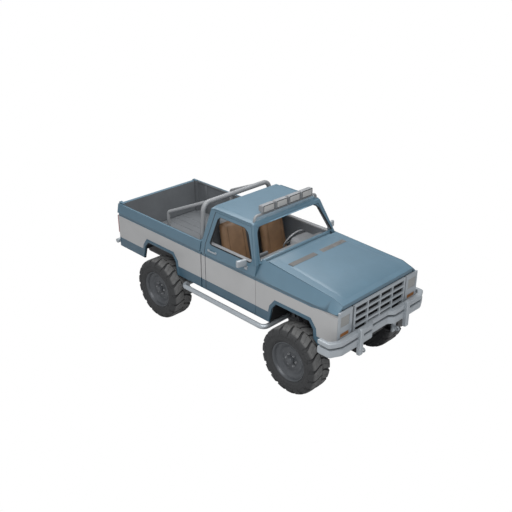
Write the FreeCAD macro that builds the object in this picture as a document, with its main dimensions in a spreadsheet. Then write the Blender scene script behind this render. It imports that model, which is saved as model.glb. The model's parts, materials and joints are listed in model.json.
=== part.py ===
"""A lifted regular-cab pickup truck with a short bed, roll bar, roof lamps and big lugged tyres.

Millimetres. +X is forward, +Y is left and +Z is up. The origin is on the ground under the middle of the
overall length.
"""
import FreeCAD, Part
import Sketcher
import math
import os
import re
from FreeCAD import Placement, Rotation, Vector

doc = FreeCAD.newDocument("PickupTruck")

# Driving dimensions: alias, value in millimetres unless the alias ends in angle, count or share.
SIZES = [
    ("wheelbase", 2970),
    ("front_overhang", 885),
    ("rear_overhang", 1275),
    ("wheel_track", 1740),
    ("running_gap", 0.5),
    ("seat_clearance", 0.3),
    ("panel_gap", 6),
    ("door_rear_gap", 12),
    ("overrun", 40),
    ("nose_ahead", 725),
    ("door_behind", 797),
    ("door_length", 1088),
    ("corner_length", 95),
    ("cab_bed_gap", 25),
    ("bed_behind", 1195),
    ("hood_rear_ahead", 125),
    ("cowl_z", 1690),
    ("cowl_tuck", 185),
    ("pillar_width", 46),
    ("front_frame_width", 24),
    ("rear_frame_width", 70),
    ("rear_frame_lean", 90),
    ("window_lip", 8),
    ("frame_top_z", 2158),
    ("upper_inner_tuck", 325),
    ("shield_low_z", 1700),
    ("shield_high_z", 2150),
    ("shield_low_tuck", 77),
    ("shield_top_tuck", 223),
    ("rear_glass_tuck", 325),
    ("rear_glass_low_z", 1750),
    ("rear_glass_high_z", 2110),
    ("arch_shoulder", 95),
    ("arch_lean", 38),
    ("arch_kick", 215),
    ("sill_z", 860),
    ("crown_rise", 0),
    ("lug_lead_share", 0.5),
    ("lug_centre_gap", 12),
    ("yoke_wall", 26),
    ("yoke_width", 50),
    ("drum_radius", 160),
    ("drum_width", 60),
    ("shock_offset", 75),
    ("shock_front_foot_half", 470),
    ("shock_front_head_half", 500),
    ("shock_front_head_z", 1050),
    ("shock_front_lean", 370),
    ("shock_rear_foot_half", 540),
    ("shock_rear_lean", 230),
    ("shock_body_share", 0.45),
    ("tower_wall", 50),
    ("tail_radius", 72),
    ("tail_length", 300),
    ("transfer_length", 190),
    ("pipe_half", 320),
    ("pipe_z", 640),
    ("muffler_radius", 72),
    ("muffler_length", 520),
    ("liner_wall", 10),
    ("cowl_clearance", 160),
    ("stay_inset", 195),
    ("stay_head_inset", 365),
    ("stay_bend", 60),
    ("stay_radius", 26),
    ("bar_behind", 45),
    ("spoke_radius", 9),
    ("column_length", 330),
    ("support_wall", 70),
    ("support_gap", 8),
    ("buffer_radius", 12),
    ("buffer_half", 480),
    ("buffer_length", 40),
    ("radiator_wall", 60),
    ("grille_drop", 7),
    ("lens_recess", 6),
    ("lens_gap", 1),
    ("bumper_end_share", 0.7),
    ("bumper_corner", 170),
    ("tow_eye_reach", 50),
    ("tow_eye_radius", 38),
    ("tow_eye_wall", 26),
    ("tow_bore_radius", 16),
    ("post_rise", 14),
    ("band_high_z", 1445),
    ("stripe_z", 1490),
    ("crease_z", 1504),
    ("belt_z", 1660),
    ("body_half", 885),
    ("crease_out", 15),
    ("belt_tuck", 17),
    ("sill_tuck", 18),
    ("stripe_tuck", 12),
    ("door_wall", 85),
    ("frame_wall", 45),
    ("skin_wall", 28),
    ("floor_wall", 35),
    ("cab_floor_z", 905),
    ("roof_z", 2232),
    ("roof_wall", 40),
    ("roof_tuck", 169),
    ("roof_edge_z", 2190),
    ("roof_top_tuck", 245),
    ("shield_top_back", 205),
    ("back_lean", 75),
    ("glass_wall", 6),
    ("tyre_radius", 511),
    ("tyre_width", 398),
    ("lug_height", 24),
    ("lug_width", 44),
    ("lug_count", 18),
    ("shoulder_drop", 36),
    ("shoulder_inset", 46),
    ("bulge_radius", 400),
    ("rim_radius", 312),
    ("rim_wall", 12),
    ("rim_well_radius", 235),
    ("disc_inset", 75),
    ("disc_wall", 16),
    ("hub_radius", 62),
    ("hub_length", 80),
    ("nut_radius", 13),
    ("nut_circle", 92),
    ("nut_count", 6),
    ("spindle_radius", 36),
    ("kingpin_inset", 105),
    ("axle_tube_radius", 48),
    ("pumpkin_radius", 135),
    ("pumpkin_offset", 200),
    ("knuckle_width", 70),
    ("knuckle_height", 210),
    ("arm_length", 150),
    ("arm_drop", 80),
    ("arm_wall", 22),
    ("rod_radius", 16),
    ("pin_radius", 9),
    ("eye_radius", 20),
    ("rail_half", 430),
    ("rail_width", 68),
    ("rail_top_z", 870),
    ("rail_height", 150),
    ("rail_wall", 8),
    ("rail_rear_inset", 40),
    ("member_width", 80),
    ("member_height", 90),
    ("spring_width", 64),
    ("spring_wall", 36),
    ("spring_reach", 560),
    ("spring_half", 396),
    ("spring_rise", 120),
    ("shock_radius", 28),
    ("fender_inner_width", 425),
    ("front_arch_back", 537),
    ("front_arch_ahead", 351),
    ("front_arch_top_z", 1224),
    ("front_arch_low_z", 915),
    ("rear_arch_back", 530),
    ("rear_arch_ahead", 385),
    ("rear_arch_top_z", 1200),
    ("hood_rear_z", 1745),
    ("hood_front_z", 1662),
    ("hood_slope_back", 185),
    ("hood_lip_z", 1603),
    ("hood_rear_tuck", 140),
    ("hood_front_tuck", 95),
    ("hood_lip_height", 58),
    ("grille_inset", 307),
    ("grille_low_z", 1082),
    ("grille_wall", 30),
    ("grille_frame", 36),
    ("grille_bar", 30),
    ("grille_post", 26),
    ("lamp_outer_inset", 5),
    ("lamp_inner_inset", 279),
    ("lens_outer_inset", 35),
    ("lens_inner_inset", 227),
    ("lens_low_z", 1300),
    ("lens_high_z", 1468),
    ("turn_low_z", 1148),
    ("turn_high_z", 1222),
    ("lens_wall", 18),
    ("bumper_out", 185),
    ("bumper_depth", 85),
    ("bumper_wrap", 300),
    ("bumper_upper_z", 1157),
    ("bumper_upper_height", 72),
    ("bumper_lower_z", 1055),
    ("bumper_lower_height", 112),
    ("bumper_recess", 65),
    ("bumper_recess_half", 180),
    ("bumper_recess_slope", 77),
    ("upright_half", 530),
    ("upright_width", 72),
    ("upright_depth", 40),
    ("upright_low_z", 800),
    ("upright_high_z", 1212),
    ("bed_floor_z", 1075),
    ("bed_wall", 45),
    ("bed_front_wall", 50),
    ("tailgate_wall", 62),
    ("tailgate_inset", 95),
    ("tailgate_gap", 11),
    ("tailgate_pin_radius", 6),
    ("tailgate_pin_inset", 12),
    ("tailgate_pin_length", 28),
    ("post_length", 110),
    ("wheelhouse_width", 275),
    ("wheelhouse_wall", 12),
    ("tail_lamp_low_z", 1130),
    ("tail_lamp_high_z", 1445),
    ("tail_lamp_wall", 22),
    ("tail_lamp_width", 78),
    ("rear_bumper_z", 1000),
    ("rear_bumper_radius", 38),
    ("rear_bumper_out", 40),
    ("drawbar_width", 90),
    ("drawbar_height", 22),
    ("hitch_bore_radius", 13.1),
    ("step_radius", 38),
    ("step_out", 65),
    ("step_z", 785),
    ("step_bend", 90),
    ("step_front_ahead", 235),
    ("step_length", 1830),
    ("roll_radius", 38),
    ("roll_inset", 180),
    ("roll_foot_inset", 95),
    ("roll_top_z", 2245),
    ("roll_bend", 130),
    ("roll_behind", 95),
    ("stay_foot_behind", 900),
    ("stay_low_z", 1800),
    ("bar_radius", 20),
    ("bar_z", 2290),
    ("bar_inset", 223),
    ("bar_bend", 60),
    ("roof_lamp_width", 248),
    ("roof_lamp_pitch", 272),
    ("roof_lamp_height", 125),
    ("roof_lamp_depth", 100),
    ("roof_lamp_count", 4),
    ("mirror_ahead", 185),
    ("mirror_out", 125),
    ("mirror_z", 1690),
    ("mirror_width", 240),
    ("mirror_height", 110),
    ("mirror_depth", 60),
    ("stem_radius", 14),
    ("handle_length", 190),
    ("handle_height", 26),
    ("handle_depth", 22),
    ("handle_z", 1572),
    ("seat_half", 410),
    ("seat_width", 560),
    ("seat_top_z", 1235),
    ("cushion_height", 190),
    ("cushion_length", 560),
    ("back_height", 720),
    ("back_wall", 170),
    ("seat_lean_angle", 12),
    ("seat_room", 228),
    ("seat_gap", 14),
    ("dash_top_z", 1612),
    ("dash_low_z", 1330),
    ("dash_depth", 330),
    ("dash_gap", 8),
    ("wheel_ring_radius", 205),
    ("wheel_ring_tube", 13),
    ("wheel_half", 410),
    ("wheel_centre_z", 1520),
    ("wheel_behind", 455),
    ("column_angle", 28),
    ("column_radius", 26),
    ("engine_length", 700),
    ("engine_width", 560),
    ("engine_height", 700),
    ("engine_low_z", 700),
    ("gearbox_radius", 100),
    ("gearbox_length", 460),
    ("shaft_radius", 34),
    ("tank_length", 520),
    ("tank_width", 520),
    ("tank_height", 200),
    ("pipe_radius", 28),
]

sheet = doc.addObject("Spreadsheet::Sheet", "Sizes")
for row, (alias, number) in enumerate(SIZES, 1):
    sheet.set(f"A{row}", alias)
    sheet.set(f"B{row}", str(number))
    sheet.setAlias(f"B{row}", alias)
doc.recompute()

# Half widths that follow the body's own or the track, so that they keep their place when it changes.
FOLLOWERS = {
    "crease_half": "(body_half + crease_out)",
    "belt_half": "(body_half - belt_tuck)",
    "roof_half": "(body_half - roof_tuck)",
    "roof_top_half": "(body_half - roof_top_tuck)",
    "cowl_half": "(body_half - cowl_tuck)",
    "upper_inner_half": "(body_half - upper_inner_tuck)",
    "shield_low_half": "(body_half - shield_low_tuck)",
    "shield_top_half": "(body_half - shield_top_tuck)",
    "rear_glass_half": "(body_half - rear_glass_tuck)",
    "lamp_outer": "(body_half - lamp_outer_inset)",
    "lamp_inner": "(body_half - lamp_inner_inset)",
    "lens_outer": "(body_half - lens_outer_inset)",
    "lens_inner": "(body_half - lens_inner_inset)",
    "grille_half": "(body_half - grille_inset)",
    "hood_half_rear": "(body_half - hood_rear_tuck)",
    "hood_half_front": "(body_half - hood_front_tuck)",
    "tailgate_half": "(body_half - tailgate_inset)",
    "bumper_half": "(body_half + bumper_out)",
    "wheelhouse_half": "(body_half - wheelhouse_width)",
    "rear_bumper_half": "(body_half + rear_bumper_out)",
    "mirror_half": "(body_half + mirror_out)",
    "step_half": "(body_half + step_out)",
    "roll_half": "(body_half - roll_inset)",
    "roll_foot_half": "(body_half - roll_foot_inset)",
    "stay_half": "(body_half - stay_inset)",
    "stay_head_half": "(body_half - stay_head_inset)",
    "bar_half": "(body_half - bar_inset)",
    "fender_inner_half": "(body_half - fender_inner_width)",
    "kingpin_half": "(wheel_track / 2 - kingpin_inset)",
}

# Named places, as expressions in the sheet's aliases.
REAR_END = "(0 - (front_overhang + wheelbase + rear_overhang) / 2)"
FRONT_AXLE = "((wheelbase + rear_overhang - front_overhang) / 2)"
REAR_AXLE = f"({FRONT_AXLE} - wheelbase)"
NOSE = f"({FRONT_AXLE} + nose_ahead)"
DOOR_FRONT = f"({FRONT_AXLE} - door_behind)"
DOOR_REAR = f"({DOOR_FRONT} - door_length)"
CAB_BACK = f"({DOOR_REAR} - corner_length)"
BED_FRONT = f"({CAB_BACK} - cab_bed_gap)"
BED_REAR = f"({REAR_AXLE} - bed_behind)"
ENGINE_REAR = f"({DOOR_FRONT} + cowl_clearance)"
GEARBOX_REAR = f"({ENGINE_REAR} - gearbox_length - tail_length)"
HOOD_REAR = f"({DOOR_FRONT} + hood_rear_ahead)"


def spelled(text):
    """The expression with each follower written out in the sheet's own aliases."""
    return re.sub(r"[a-z]\w*", lambda match: FOLLOWERS.get(match.group(), match.group()), str(text))


def number(text):
    """What an expression in the sheet's aliases comes to."""
    return float(sheet.evalExpression(spelled(text)))


def bound(text):
    """The same expression as another object of the document reads it."""
    return re.sub(r"(?<![\w.])([a-z]\w*)(?![\w(])", r"Sizes.\1", spelled(text))


def neg(text):
    """The expression with its sign turned."""
    return f"(0 - {text})"


def mirrored_points(points):
    """Points (x, y) of an outline's +x half, from bottom to top, closed by their mirror images."""
    return points + [(neg(point[0]),) + tuple(point[1:]) for point in reversed(points)]


def new_body(label):
    body = doc.addObject("PartDesign::Body", label)
    body.Label = label
    return body


def origin_item(body, role):
    return next(item for item in body.Origin.OriginFeatures if item.Role == role)


def new_sketch(body, role, offset):
    """A sketch on one of the body's own planes, moved along the plane's normal by an expression."""
    sketch = body.newObject("Sketcher::SketchObject", f"{body.Name}_sketch")
    sketch.AttachmentSupport = [(origin_item(body, role), "")]
    sketch.MapMode = "FlatFace"
    sketch.setExpression("AttachmentOffset.Base.z", bound(offset))
    return sketch


def hold_point(sketch, geometry, end, point):
    """Ties one end of a sketch line to a place given by two expressions."""
    for kind, text in (("DistanceX", point[0]), ("DistanceY", point[1])):
        index = sketch.addConstraint(Sketcher.Constraint(kind, -1, 1, geometry, end, number(text)))
        sketch.setExpression(f"Constraints[{index}]", bound(text))


def add_polygon(sketch, points, closed=True):
    """A line through points that are pairs of expressions, each vertex tied to its place."""
    corners = [Vector(number(point[0]), number(point[1]), 0) for point in points]
    pairs = list(zip(corners, corners[1:] + corners[:1])) if closed else list(zip(corners, corners[1:]))
    lines = sketch.addGeometry([Part.LineSegment(a, b) for a, b in pairs])
    for index, line in enumerate(lines):
        hold_point(sketch, line, 1, points[index])
        if closed or index + 1 < len(lines):
            follower = lines[(index + 1) % len(lines)]
            sketch.addConstraint(Sketcher.Constraint("Coincident", line, 2, follower, 1))
    if not closed:
        hold_point(sketch, lines[-1], 2, points[-1])


def add_circle(sketch, centre, radius):
    middle = Vector(number(centre[0]), number(centre[1]), 0)
    circle = sketch.addGeometry(Part.Circle(middle, Vector(0, 0, 1), number(radius)))
    hold_point(sketch, circle, 3, centre)
    index = sketch.addConstraint(Sketcher.Constraint("Radius", circle, number(radius)))
    sketch.setExpression(f"Constraints[{index}]", bound(radius))


# For each axis that a profile is pushed along: its plane and the sign of the plane's normal.
PUSH = {"x": ("YZ_Plane", 1), "y": ("XZ_Plane", -1), "z": ("XY_Plane", 1)}


def profile_sketch(body, axis, outline, start):
    role, sign = PUSH[axis]
    sketch = new_sketch(body, role, start if sign > 0 else neg(start))
    if outline[0] == "circle":
        add_circle(sketch, outline[1], outline[2])
    else:
        add_polygon(sketch, outline)
    return sketch


def pad(body, axis, outline, start, length):
    """Adds a prism of the outline from start, by length towards +axis."""
    feature = body.newObject("PartDesign::Pad", f"{body.Name}_pad")
    feature.Profile = profile_sketch(body, axis, outline, start)
    feature.Reversed = PUSH[axis][1] < 0
    feature.setExpression("Length", bound(length))
    return feature


def cut(body, axis, outline, start, length):
    """Takes away a prism of the outline from start, by length towards +axis."""
    feature = body.newObject("PartDesign::Pocket", f"{body.Name}_cut")
    feature.Profile = profile_sketch(body, axis, outline, start)
    feature.Reversed = PUSH[axis][1] > 0
    feature.setExpression("Length", bound(length))
    return feature


def revolve(body, kind, outline, role, axis_role):
    """A full revolution, or groove, of an outline drawn on one of the body's planes."""
    feature = body.newObject(f"PartDesign::{kind}", f"{body.Name}_turn")
    sketch = new_sketch(body, role, "0")
    add_polygon(sketch, outline)
    feature.Profile = sketch
    feature.ReferenceAxis = (origin_item(body, axis_role), [""])
    feature.Angle = 360
    return feature


def loft(body, kind, sections, axis="x"):
    """A ruled loft through outlines that are each given with their place along the axis."""
    feature = body.newObject(f"PartDesign::{kind}", f"{body.Name}_loft")
    sketches = [profile_sketch(body, axis, outline, place) for place, outline in sections]
    feature.Profile = sketches[0]
    feature.Sections = sketches[1:]
    feature.Ruled = True
    return feature


def mirror(body, features, role="XZ_Plane"):
    """Mirrors features about one of the body's planes and leaves the body's tip on the result."""
    feature = body.newObject("PartDesign::Mirrored", f"{body.Name}_mirror")
    feature.Originals = features
    feature.MirrorPlane = (origin_item(body, role), [""])
    body.Tip = feature
    return feature


def place(item, x="0", y="0", z="0", turn=0):
    """Puts a sub-part at a place given by expressions, turned about Z by whole degrees."""
    item.Placement = Placement(Vector(number(x), number(y), number(z)), Rotation(Vector(0, 0, 1), turn))
    for letter, text in (("x", x), ("y", y), ("z", z)):
        item.setExpression(f"Placement.Base.{letter}", bound(text))


def box_outline(u_low, u_high, v_low, v_high):
    return [(u_low, v_low), (u_high, v_low), (u_high, v_high), (u_low, v_high)]


def rounded_path(points, radii):
    """A wire of straight runs joined by tangent arcs; radii has one value for each inner point."""
    edges = []
    start = points[0]
    for index in range(1, len(points) - 1):
        before = (points[index - 1] - points[index]).normalize()
        after = (points[index + 1] - points[index]).normalize()
        half = before.getAngle(after) / 2
        reach = radii[index - 1] / math.tan(half)
        first = points[index] + before * reach
        last = points[index] + after * reach
        inward = (before + after).normalize()
        middle = points[index] + inward * (radii[index - 1] / math.sin(half) - radii[index - 1])
        edges.append(Part.LineSegment(start, first).toShape())
        edges.append(Part.Arc(first, middle, last).toShape())
        start = last
    edges.append(Part.LineSegment(start, points[-1]).toShape())
    return Part.Wire(edges)


def tube_solid(points, radius, radii):
    """A round bar along a rounded path."""
    path = rounded_path(points, radii)
    direction = (points[1] - points[0]).normalize()
    section = Part.Wire([Part.Circle(points[0], direction, radius).toShape()])
    return Part.Wire(path.Edges).makePipeShell([section], True, False)


def vector(x, y, z):
    return Vector(number(x), number(y), number(z))


def feature_from(label, solids):
    """A sub-part whose shape is worked out from the sheet's values."""
    item = doc.addObject("Part::Feature", label)
    item.Label = label
    fused = solids[0] if len(solids) == 1 else solids[0].multiFuse(solids[1:]).removeSplitter()
    item.Shape = fused
    item.Placement = Placement()
    return item


def group_from(label, solids):
    """A sub-part of several solids that don't touch."""
    item = doc.addObject("Part::Feature", label)
    item.Label = label
    item.Shape = Part.makeCompound(solids)
    item.Placement = Placement()
    return item


def flipped(solid):
    """The mirror image of a solid on the other side of the truck."""
    return solid.mirror(Vector(0, 0, 0), Vector(0, 1, 0))


def box_solid(x, y, z):
    """A block between pairs of expressions along each axis."""
    low = vector(x[0], y[0], z[0])
    high = vector(x[1], y[1], z[1])
    span = high - low
    return Part.makeBox(span.x, span.y, span.z, low)


def rod_solid(start, end, radius):
    """A round bar between two points."""
    return Part.makeCylinder(radius, (end - start).Length, start, end - start)


parts = []


def keep(item):
    parts.append(item)
    return item


# Body section: the outer line of the truck's side, from the sill up to the belt.
SIDE_LINE = [
    ("(body_half - sill_tuck)", "sill_z"),
    ("body_half", "(sill_z + sill_tuck)"),
    ("body_half", "band_high_z"),
    ("(body_half - stripe_tuck)", "(band_high_z + stripe_tuck)"),
    ("(body_half - stripe_tuck)", "stripe_z"),
    ("crease_half", "crease_z"),
    ("belt_half", "belt_z"),
]


def side_wall_section(wall):
    """The closed section of a wall that follows the side line, on the left side."""
    inner = f"(body_half - {wall})"
    return SIDE_LINE + [(inner, "belt_z"), (inner, "sill_z")]


# Greenhouse, seen from above: half widths and ends at the belt, the gutter and the roof's flat.
INNER_HALF = "(body_half - door_wall)"
COWL_FRONT = f"({HOOD_REAR} - panel_gap)"
SHIELD_TOP = f"({DOOR_FRONT} - shield_top_back)"
BACK_TOP = f"({CAB_BACK} + back_lean)"
GREENHOUSE = [
    ("belt_z", "belt_half", DOOR_FRONT, CAB_BACK),
    ("roof_edge_z", "roof_half", SHIELD_TOP, BACK_TOP),
    ("roof_z", "roof_top_half", f"({SHIELD_TOP} - roof_wall)", f"({BACK_TOP} + roof_wall)"),
]


def plan_outline(half, front, back, inset="0"):
    return box_outline(f"({back} + {inset})", f"({front} - {inset})", neg(f"({half} - {inset})"), f"({half} - {inset})")



def make_cab_skin():
    """The closed cab: tub and greenhouse with walls as thick as the doors, not yet opened."""
    body = new_body("cab_skin")
    pad(body, "x", mirrored_points(SIDE_LINE), CAB_BACK, f"({DOOR_FRONT} - {CAB_BACK})")
    for lower, upper in ((0, 1), (1, 2)):
        low = GREENHOUSE[lower]
        high = GREENHOUSE[upper]
        loft(body, "AdditiveLoft", [(low[0], plan_outline(*low[1:])), (high[0], plan_outline(*high[1:]))], "z")
    footwell = mirrored_points([(INNER_HALF, "cab_floor_z"), (INNER_HALF, "band_high_z"), ("cowl_half", "cowl_z")])
    pad(body, "x", footwell, f"({DOOR_FRONT} - skin_wall)", f"({COWL_FRONT} - {DOOR_FRONT} + skin_wall)")
    room = box_outline(neg(INNER_HALF), INNER_HALF, "(cab_floor_z + floor_wall)", "belt_z")
    rear = f"({CAB_BACK} + frame_wall)"
    cut(body, "x", room, rear, f"({DOOR_FRONT} - skin_wall - {rear})")
    well = mirrored_points([(f"({INNER_HALF} - skin_wall)", "(cab_floor_z + floor_wall)"),
                            (f"({INNER_HALF} - skin_wall)", "(band_high_z - skin_wall)"),
                            ("(cowl_half - skin_wall)", "(cowl_z - skin_wall)")])
    cut(body, "x", well, f"({DOOR_FRONT} - skin_wall - overrun)",
        f"({COWL_FRONT} - {DOOR_FRONT} + overrun)")
    low = GREENHOUSE[0]
    high = GREENHOUSE[1]
    ceiling = "(roof_z - roof_wall)"
    loft(body, "SubtractiveLoft", [(low[0], plan_outline(*low[1:], "frame_wall")),
                                   (ceiling, plan_outline(*high[1:], "frame_wall"))], "z")
    underside = box_outline(neg(INNER_HALF), INNER_HALF, "(sill_z - overrun)", "cab_floor_z")
    cut(body, "x", underside, f"({CAB_BACK} - overrun)", f"({DOOR_FRONT} - {CAB_BACK} + 2 * overrun)")
    return body


def lower_door_outline(grow, rear_grow):
    """The door below the belt, seen from the side, grown by its gaps for the opening."""
    return box_outline(f"({DOOR_REAR} - {rear_grow})", f"({DOOR_FRONT} + {grow})",
                       f"(sill_z + 2 * sill_tuck - {grow})", f"(belt_z + {grow})")


def upper_door_outline(grow, rear_grow):
    """The window frame above the belt, seen from the side."""
    top = f"(frame_top_z + {grow})"
    return [
        (f"({DOOR_REAR} - {rear_grow})", "belt_z"),
        (f"({DOOR_FRONT} - pillar_width + {grow})", "belt_z"),
        (f"({SHIELD_TOP} - pillar_width + {grow})", top),
        (f"({DOOR_REAR} + rear_frame_lean - {rear_grow})", top),
    ]


def window_outline():
    """The side window's opening inside the door's frame."""
    low = "(belt_z + window_lip)"
    high = "(frame_top_z - frame_wall)"
    return [
        (f"({DOOR_REAR} + rear_frame_width)", low),
        (f"({DOOR_FRONT} - pillar_width - front_frame_width)", low),
        (f"({SHIELD_TOP} - pillar_width - 2 * front_frame_width)", high),
        (f"({DOOR_REAR} + rear_frame_lean + rear_frame_width)", high),
    ]


def door_prisms(label, grow, rear_grow, inner_half):
    """Solids that hold both doors' outlines, from the inner face to beyond the skin."""
    body = new_body(label)
    reach = f"(crease_half + overrun - {inner_half})"
    lower = pad(body, "y", lower_door_outline(grow, rear_grow), inner_half, reach)
    reach = "(crease_half + overrun - upper_inner_half)"
    upper = pad(body, "y", upper_door_outline(grow, rear_grow), "upper_inner_half", reach)
    return body, lower, upper


def boolean(kind, label, base, tool):
    item = doc.addObject(f"Part::{kind}", label)
    item.Label = label
    item.Base = base
    item.Tool = tool
    return item


def make_cab():
    """The cab shell with its openings, and the two doors cut from the same skin."""
    skin = make_cab_skin()
    opening, lower, upper = door_prisms("door_openings", "panel_gap", "door_rear_gap", f"({INNER_HALF} - panel_gap)")
    mirror(opening, [lower, upper])
    glazing = new_body("glazing")
    shield = mirrored_points([(neg("shield_top_half"), "shield_high_z"), (neg("shield_low_half"), "shield_low_z")])
    pad(glazing, "x", shield, f"({SHIELD_TOP} - 2 * frame_wall)", f"({DOOR_FRONT} - {SHIELD_TOP} + 2 * frame_wall + overrun)")
    rear = box_outline(neg("rear_glass_half"), "rear_glass_half", "rear_glass_low_z", "rear_glass_high_z")
    pad(glazing, "x", rear, f"({CAB_BACK} - overrun)", "(back_lean + frame_wall + 2 * overrun)")
    opened = boolean("Cut", "cab_with_doorways", skin, opening)
    glazed = boolean("Cut", "cab_with_windows", opened, glazing)
    buffers = new_body("door_buffers")
    blocks = []
    for start in (f"({DOOR_FRONT} - 3 * buffer_length)", f"({DOOR_REAR} + 2 * buffer_length)"):
        outline = box_outline(start, f"({start} + buffer_length)", "cab_floor_z", "(cab_floor_z + floor_wall)")
        blocks.append(pad(buffers, "y", outline, f"({INNER_HALF} - 2 * panel_gap)", "(2 * panel_gap - seat_clearance)"))
    mirror(buffers, blocks)
    keep(boolean("Fuse", "cab_shell", glazed, buffers))
    for label, side in (("door_left", 1), ("door_right", -1)):
        panel = new_body(f"{label}_prism")
        reach = f"(crease_half + overrun - {INNER_HALF})"
        pad(panel, "y", lower_door_outline("0", "0"), INNER_HALF if side > 0 else neg("(crease_half + overrun)"), reach)
        reach = "(crease_half + overrun - upper_inner_half)"
        pad(panel, "y", upper_door_outline("0", "0"),
            "upper_inner_half" if side > 0 else neg("(crease_half + overrun)"), reach)
        cut(panel, "y", window_outline(), neg("(crease_half + 2 * overrun)"), "(2 * crease_half + 4 * overrun)")
        keep(boolean("Common", label, skin, panel))


def make_fenders():
    """Front fenders: a skin from the door to the nose that rises to the hood's edge, open at the wheel."""
    body = new_body("fenders")
    rear = f"({DOOR_FRONT} + panel_gap)"
    slope = f"({NOSE} - hood_slope_back)"

    def section(edge_half, edge_z):
        outer = SIDE_LINE[:-1] + [(edge_half, edge_z)]
        return outer + [
            (edge_half, f"({edge_z} - skin_wall)"),
            ("(crease_half - 2 * skin_wall)", "(crease_z - skin_wall / 2)"),
            ("(body_half - skin_wall)", "band_high_z"),
            ("(body_half - skin_wall)", "sill_z"),
        ]

    features = [loft(body, "AdditiveLoft", [(rear, section("hood_half_rear", "hood_rear_z")),
                                            (slope, section("hood_half_front", "hood_front_z"))])]
    features.append(loft(body, "AdditiveLoft", [(slope, section("hood_half_front", "hood_front_z")),
                                                (NOSE, section("hood_half_front", "hood_lip_z"))]))
    arch = arch_outline(FRONT_AXLE, "front_arch_back", "front_arch_ahead", "front_arch_top_z", kick="arch_kick")
    features.append(cut(body, "y", arch, "(body_half / 2)", "body_half"))
    low = box_outline(f"({FRONT_AXLE})", f"({NOSE} + overrun)", "(sill_z - overrun)", "front_arch_low_z")
    features.append(cut(body, "y", low, "(body_half / 2)", "body_half"))
    mirror(body, features)
    keep(body)


def arch_outline(axle, back, ahead, top_z, low="(sill_z - overrun)", kick="0"):
    """A wheel arch seen from the side: a flat top with sloped shoulders and legs that lean outward.

    The front leg's foot runs forward by the kick, which makes room for a wheel that steers.
    """
    shoulder_z = f"({top_z} - arch_shoulder)"
    return [
        (f"({axle} - {back})", low),
        (f"({axle} + {ahead} + {kick})", low),
        (f"({axle} + {ahead} - arch_lean / 2)", f"({shoulder_z} - 2 * arch_shoulder + overrun)"),
        (f"({axle} + {ahead} - arch_lean)", shoulder_z),
        (f"({axle} + {ahead} - 3 * arch_lean)", top_z),
        (f"({axle} - {back} + 4 * arch_lean)", top_z),
        (f"({axle} - {back} + 2 * arch_lean)", shoulder_z),
    ]


def make_hood():
    """The hood: a sheet that slopes to the nose and turns down at its front edge."""
    body = new_body("hood_panel")
    rear = HOOD_REAR
    slope = f"({NOSE} - hood_slope_back)"

    def section(half, top_z):
        low = f"({top_z} - skin_wall)"
        side = f"({half} - panel_gap)"
        return box_outline(neg(side), side, low, top_z)

    loft(body, "AdditiveLoft", [(rear, section("hood_half_rear", "hood_rear_z")),
                                (slope, section("hood_half_front", "hood_front_z"))])
    loft(body, "AdditiveLoft", [(slope, section("hood_half_front", "hood_front_z")),
                                (NOSE, section("hood_half_front", "hood_lip_z"))])
    side = "(hood_half_front - panel_gap)"
    lip = box_outline(neg(side), side, "(hood_lip_z - hood_lip_height)", "(hood_lip_z - skin_wall / 2)")
    pad(body, "x", lip, f"({NOSE} - skin_wall)", "skin_wall")
    return keep(body)


def make_nose():
    """The radiator support: a frame across the nose that carries the lamps, grille and radiator."""
    body = new_body("radiator_support")
    half = "(body_half - skin_wall)"
    back = f"({NOSE} - support_wall)"
    top = "(hood_lip_z - hood_lip_height - support_gap)"
    wide = mirrored_points([(half, "front_arch_low_z"), (half, "band_high_z"),
                            ("(crease_half - 2 * skin_wall)", "(crease_z - skin_wall / 2)"), ("hood_half_front", top)])
    pad(body, "x", wide, back, "support_wall")
    slope = "((hood_front_z - hood_lip_z) / hood_slope_back)"
    reach = f"(hood_lip_z - skin_wall + {slope} * (skin_wall + buffer_radius) - seat_clearance - {top})"
    for side in (1, -1):
        centre = (f"({NOSE} - skin_wall - 2 * buffer_radius)", f"({side} * buffer_half)")
        pad(body, "z", ("circle", centre, "buffer_radius"), top, reach)
    opening = box_outline(neg("(grille_half - grille_frame)"), "(grille_half - grille_frame)",
                          "(grille_low_z + grille_frame)", "(band_high_z + stripe_tuck)")
    cut(body, "x", opening, f"({back} - overrun)", "(support_wall + 2 * overrun)")
    core_half = "(grille_half - grille_frame / 2)"
    core = box_outline(neg(core_half), core_half, "grille_low_z", "(band_high_z + 2 * stripe_tuck)")
    pad(body, "x", core, f"({back} - radiator_wall)", "radiator_wall")
    keep(body)


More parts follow.
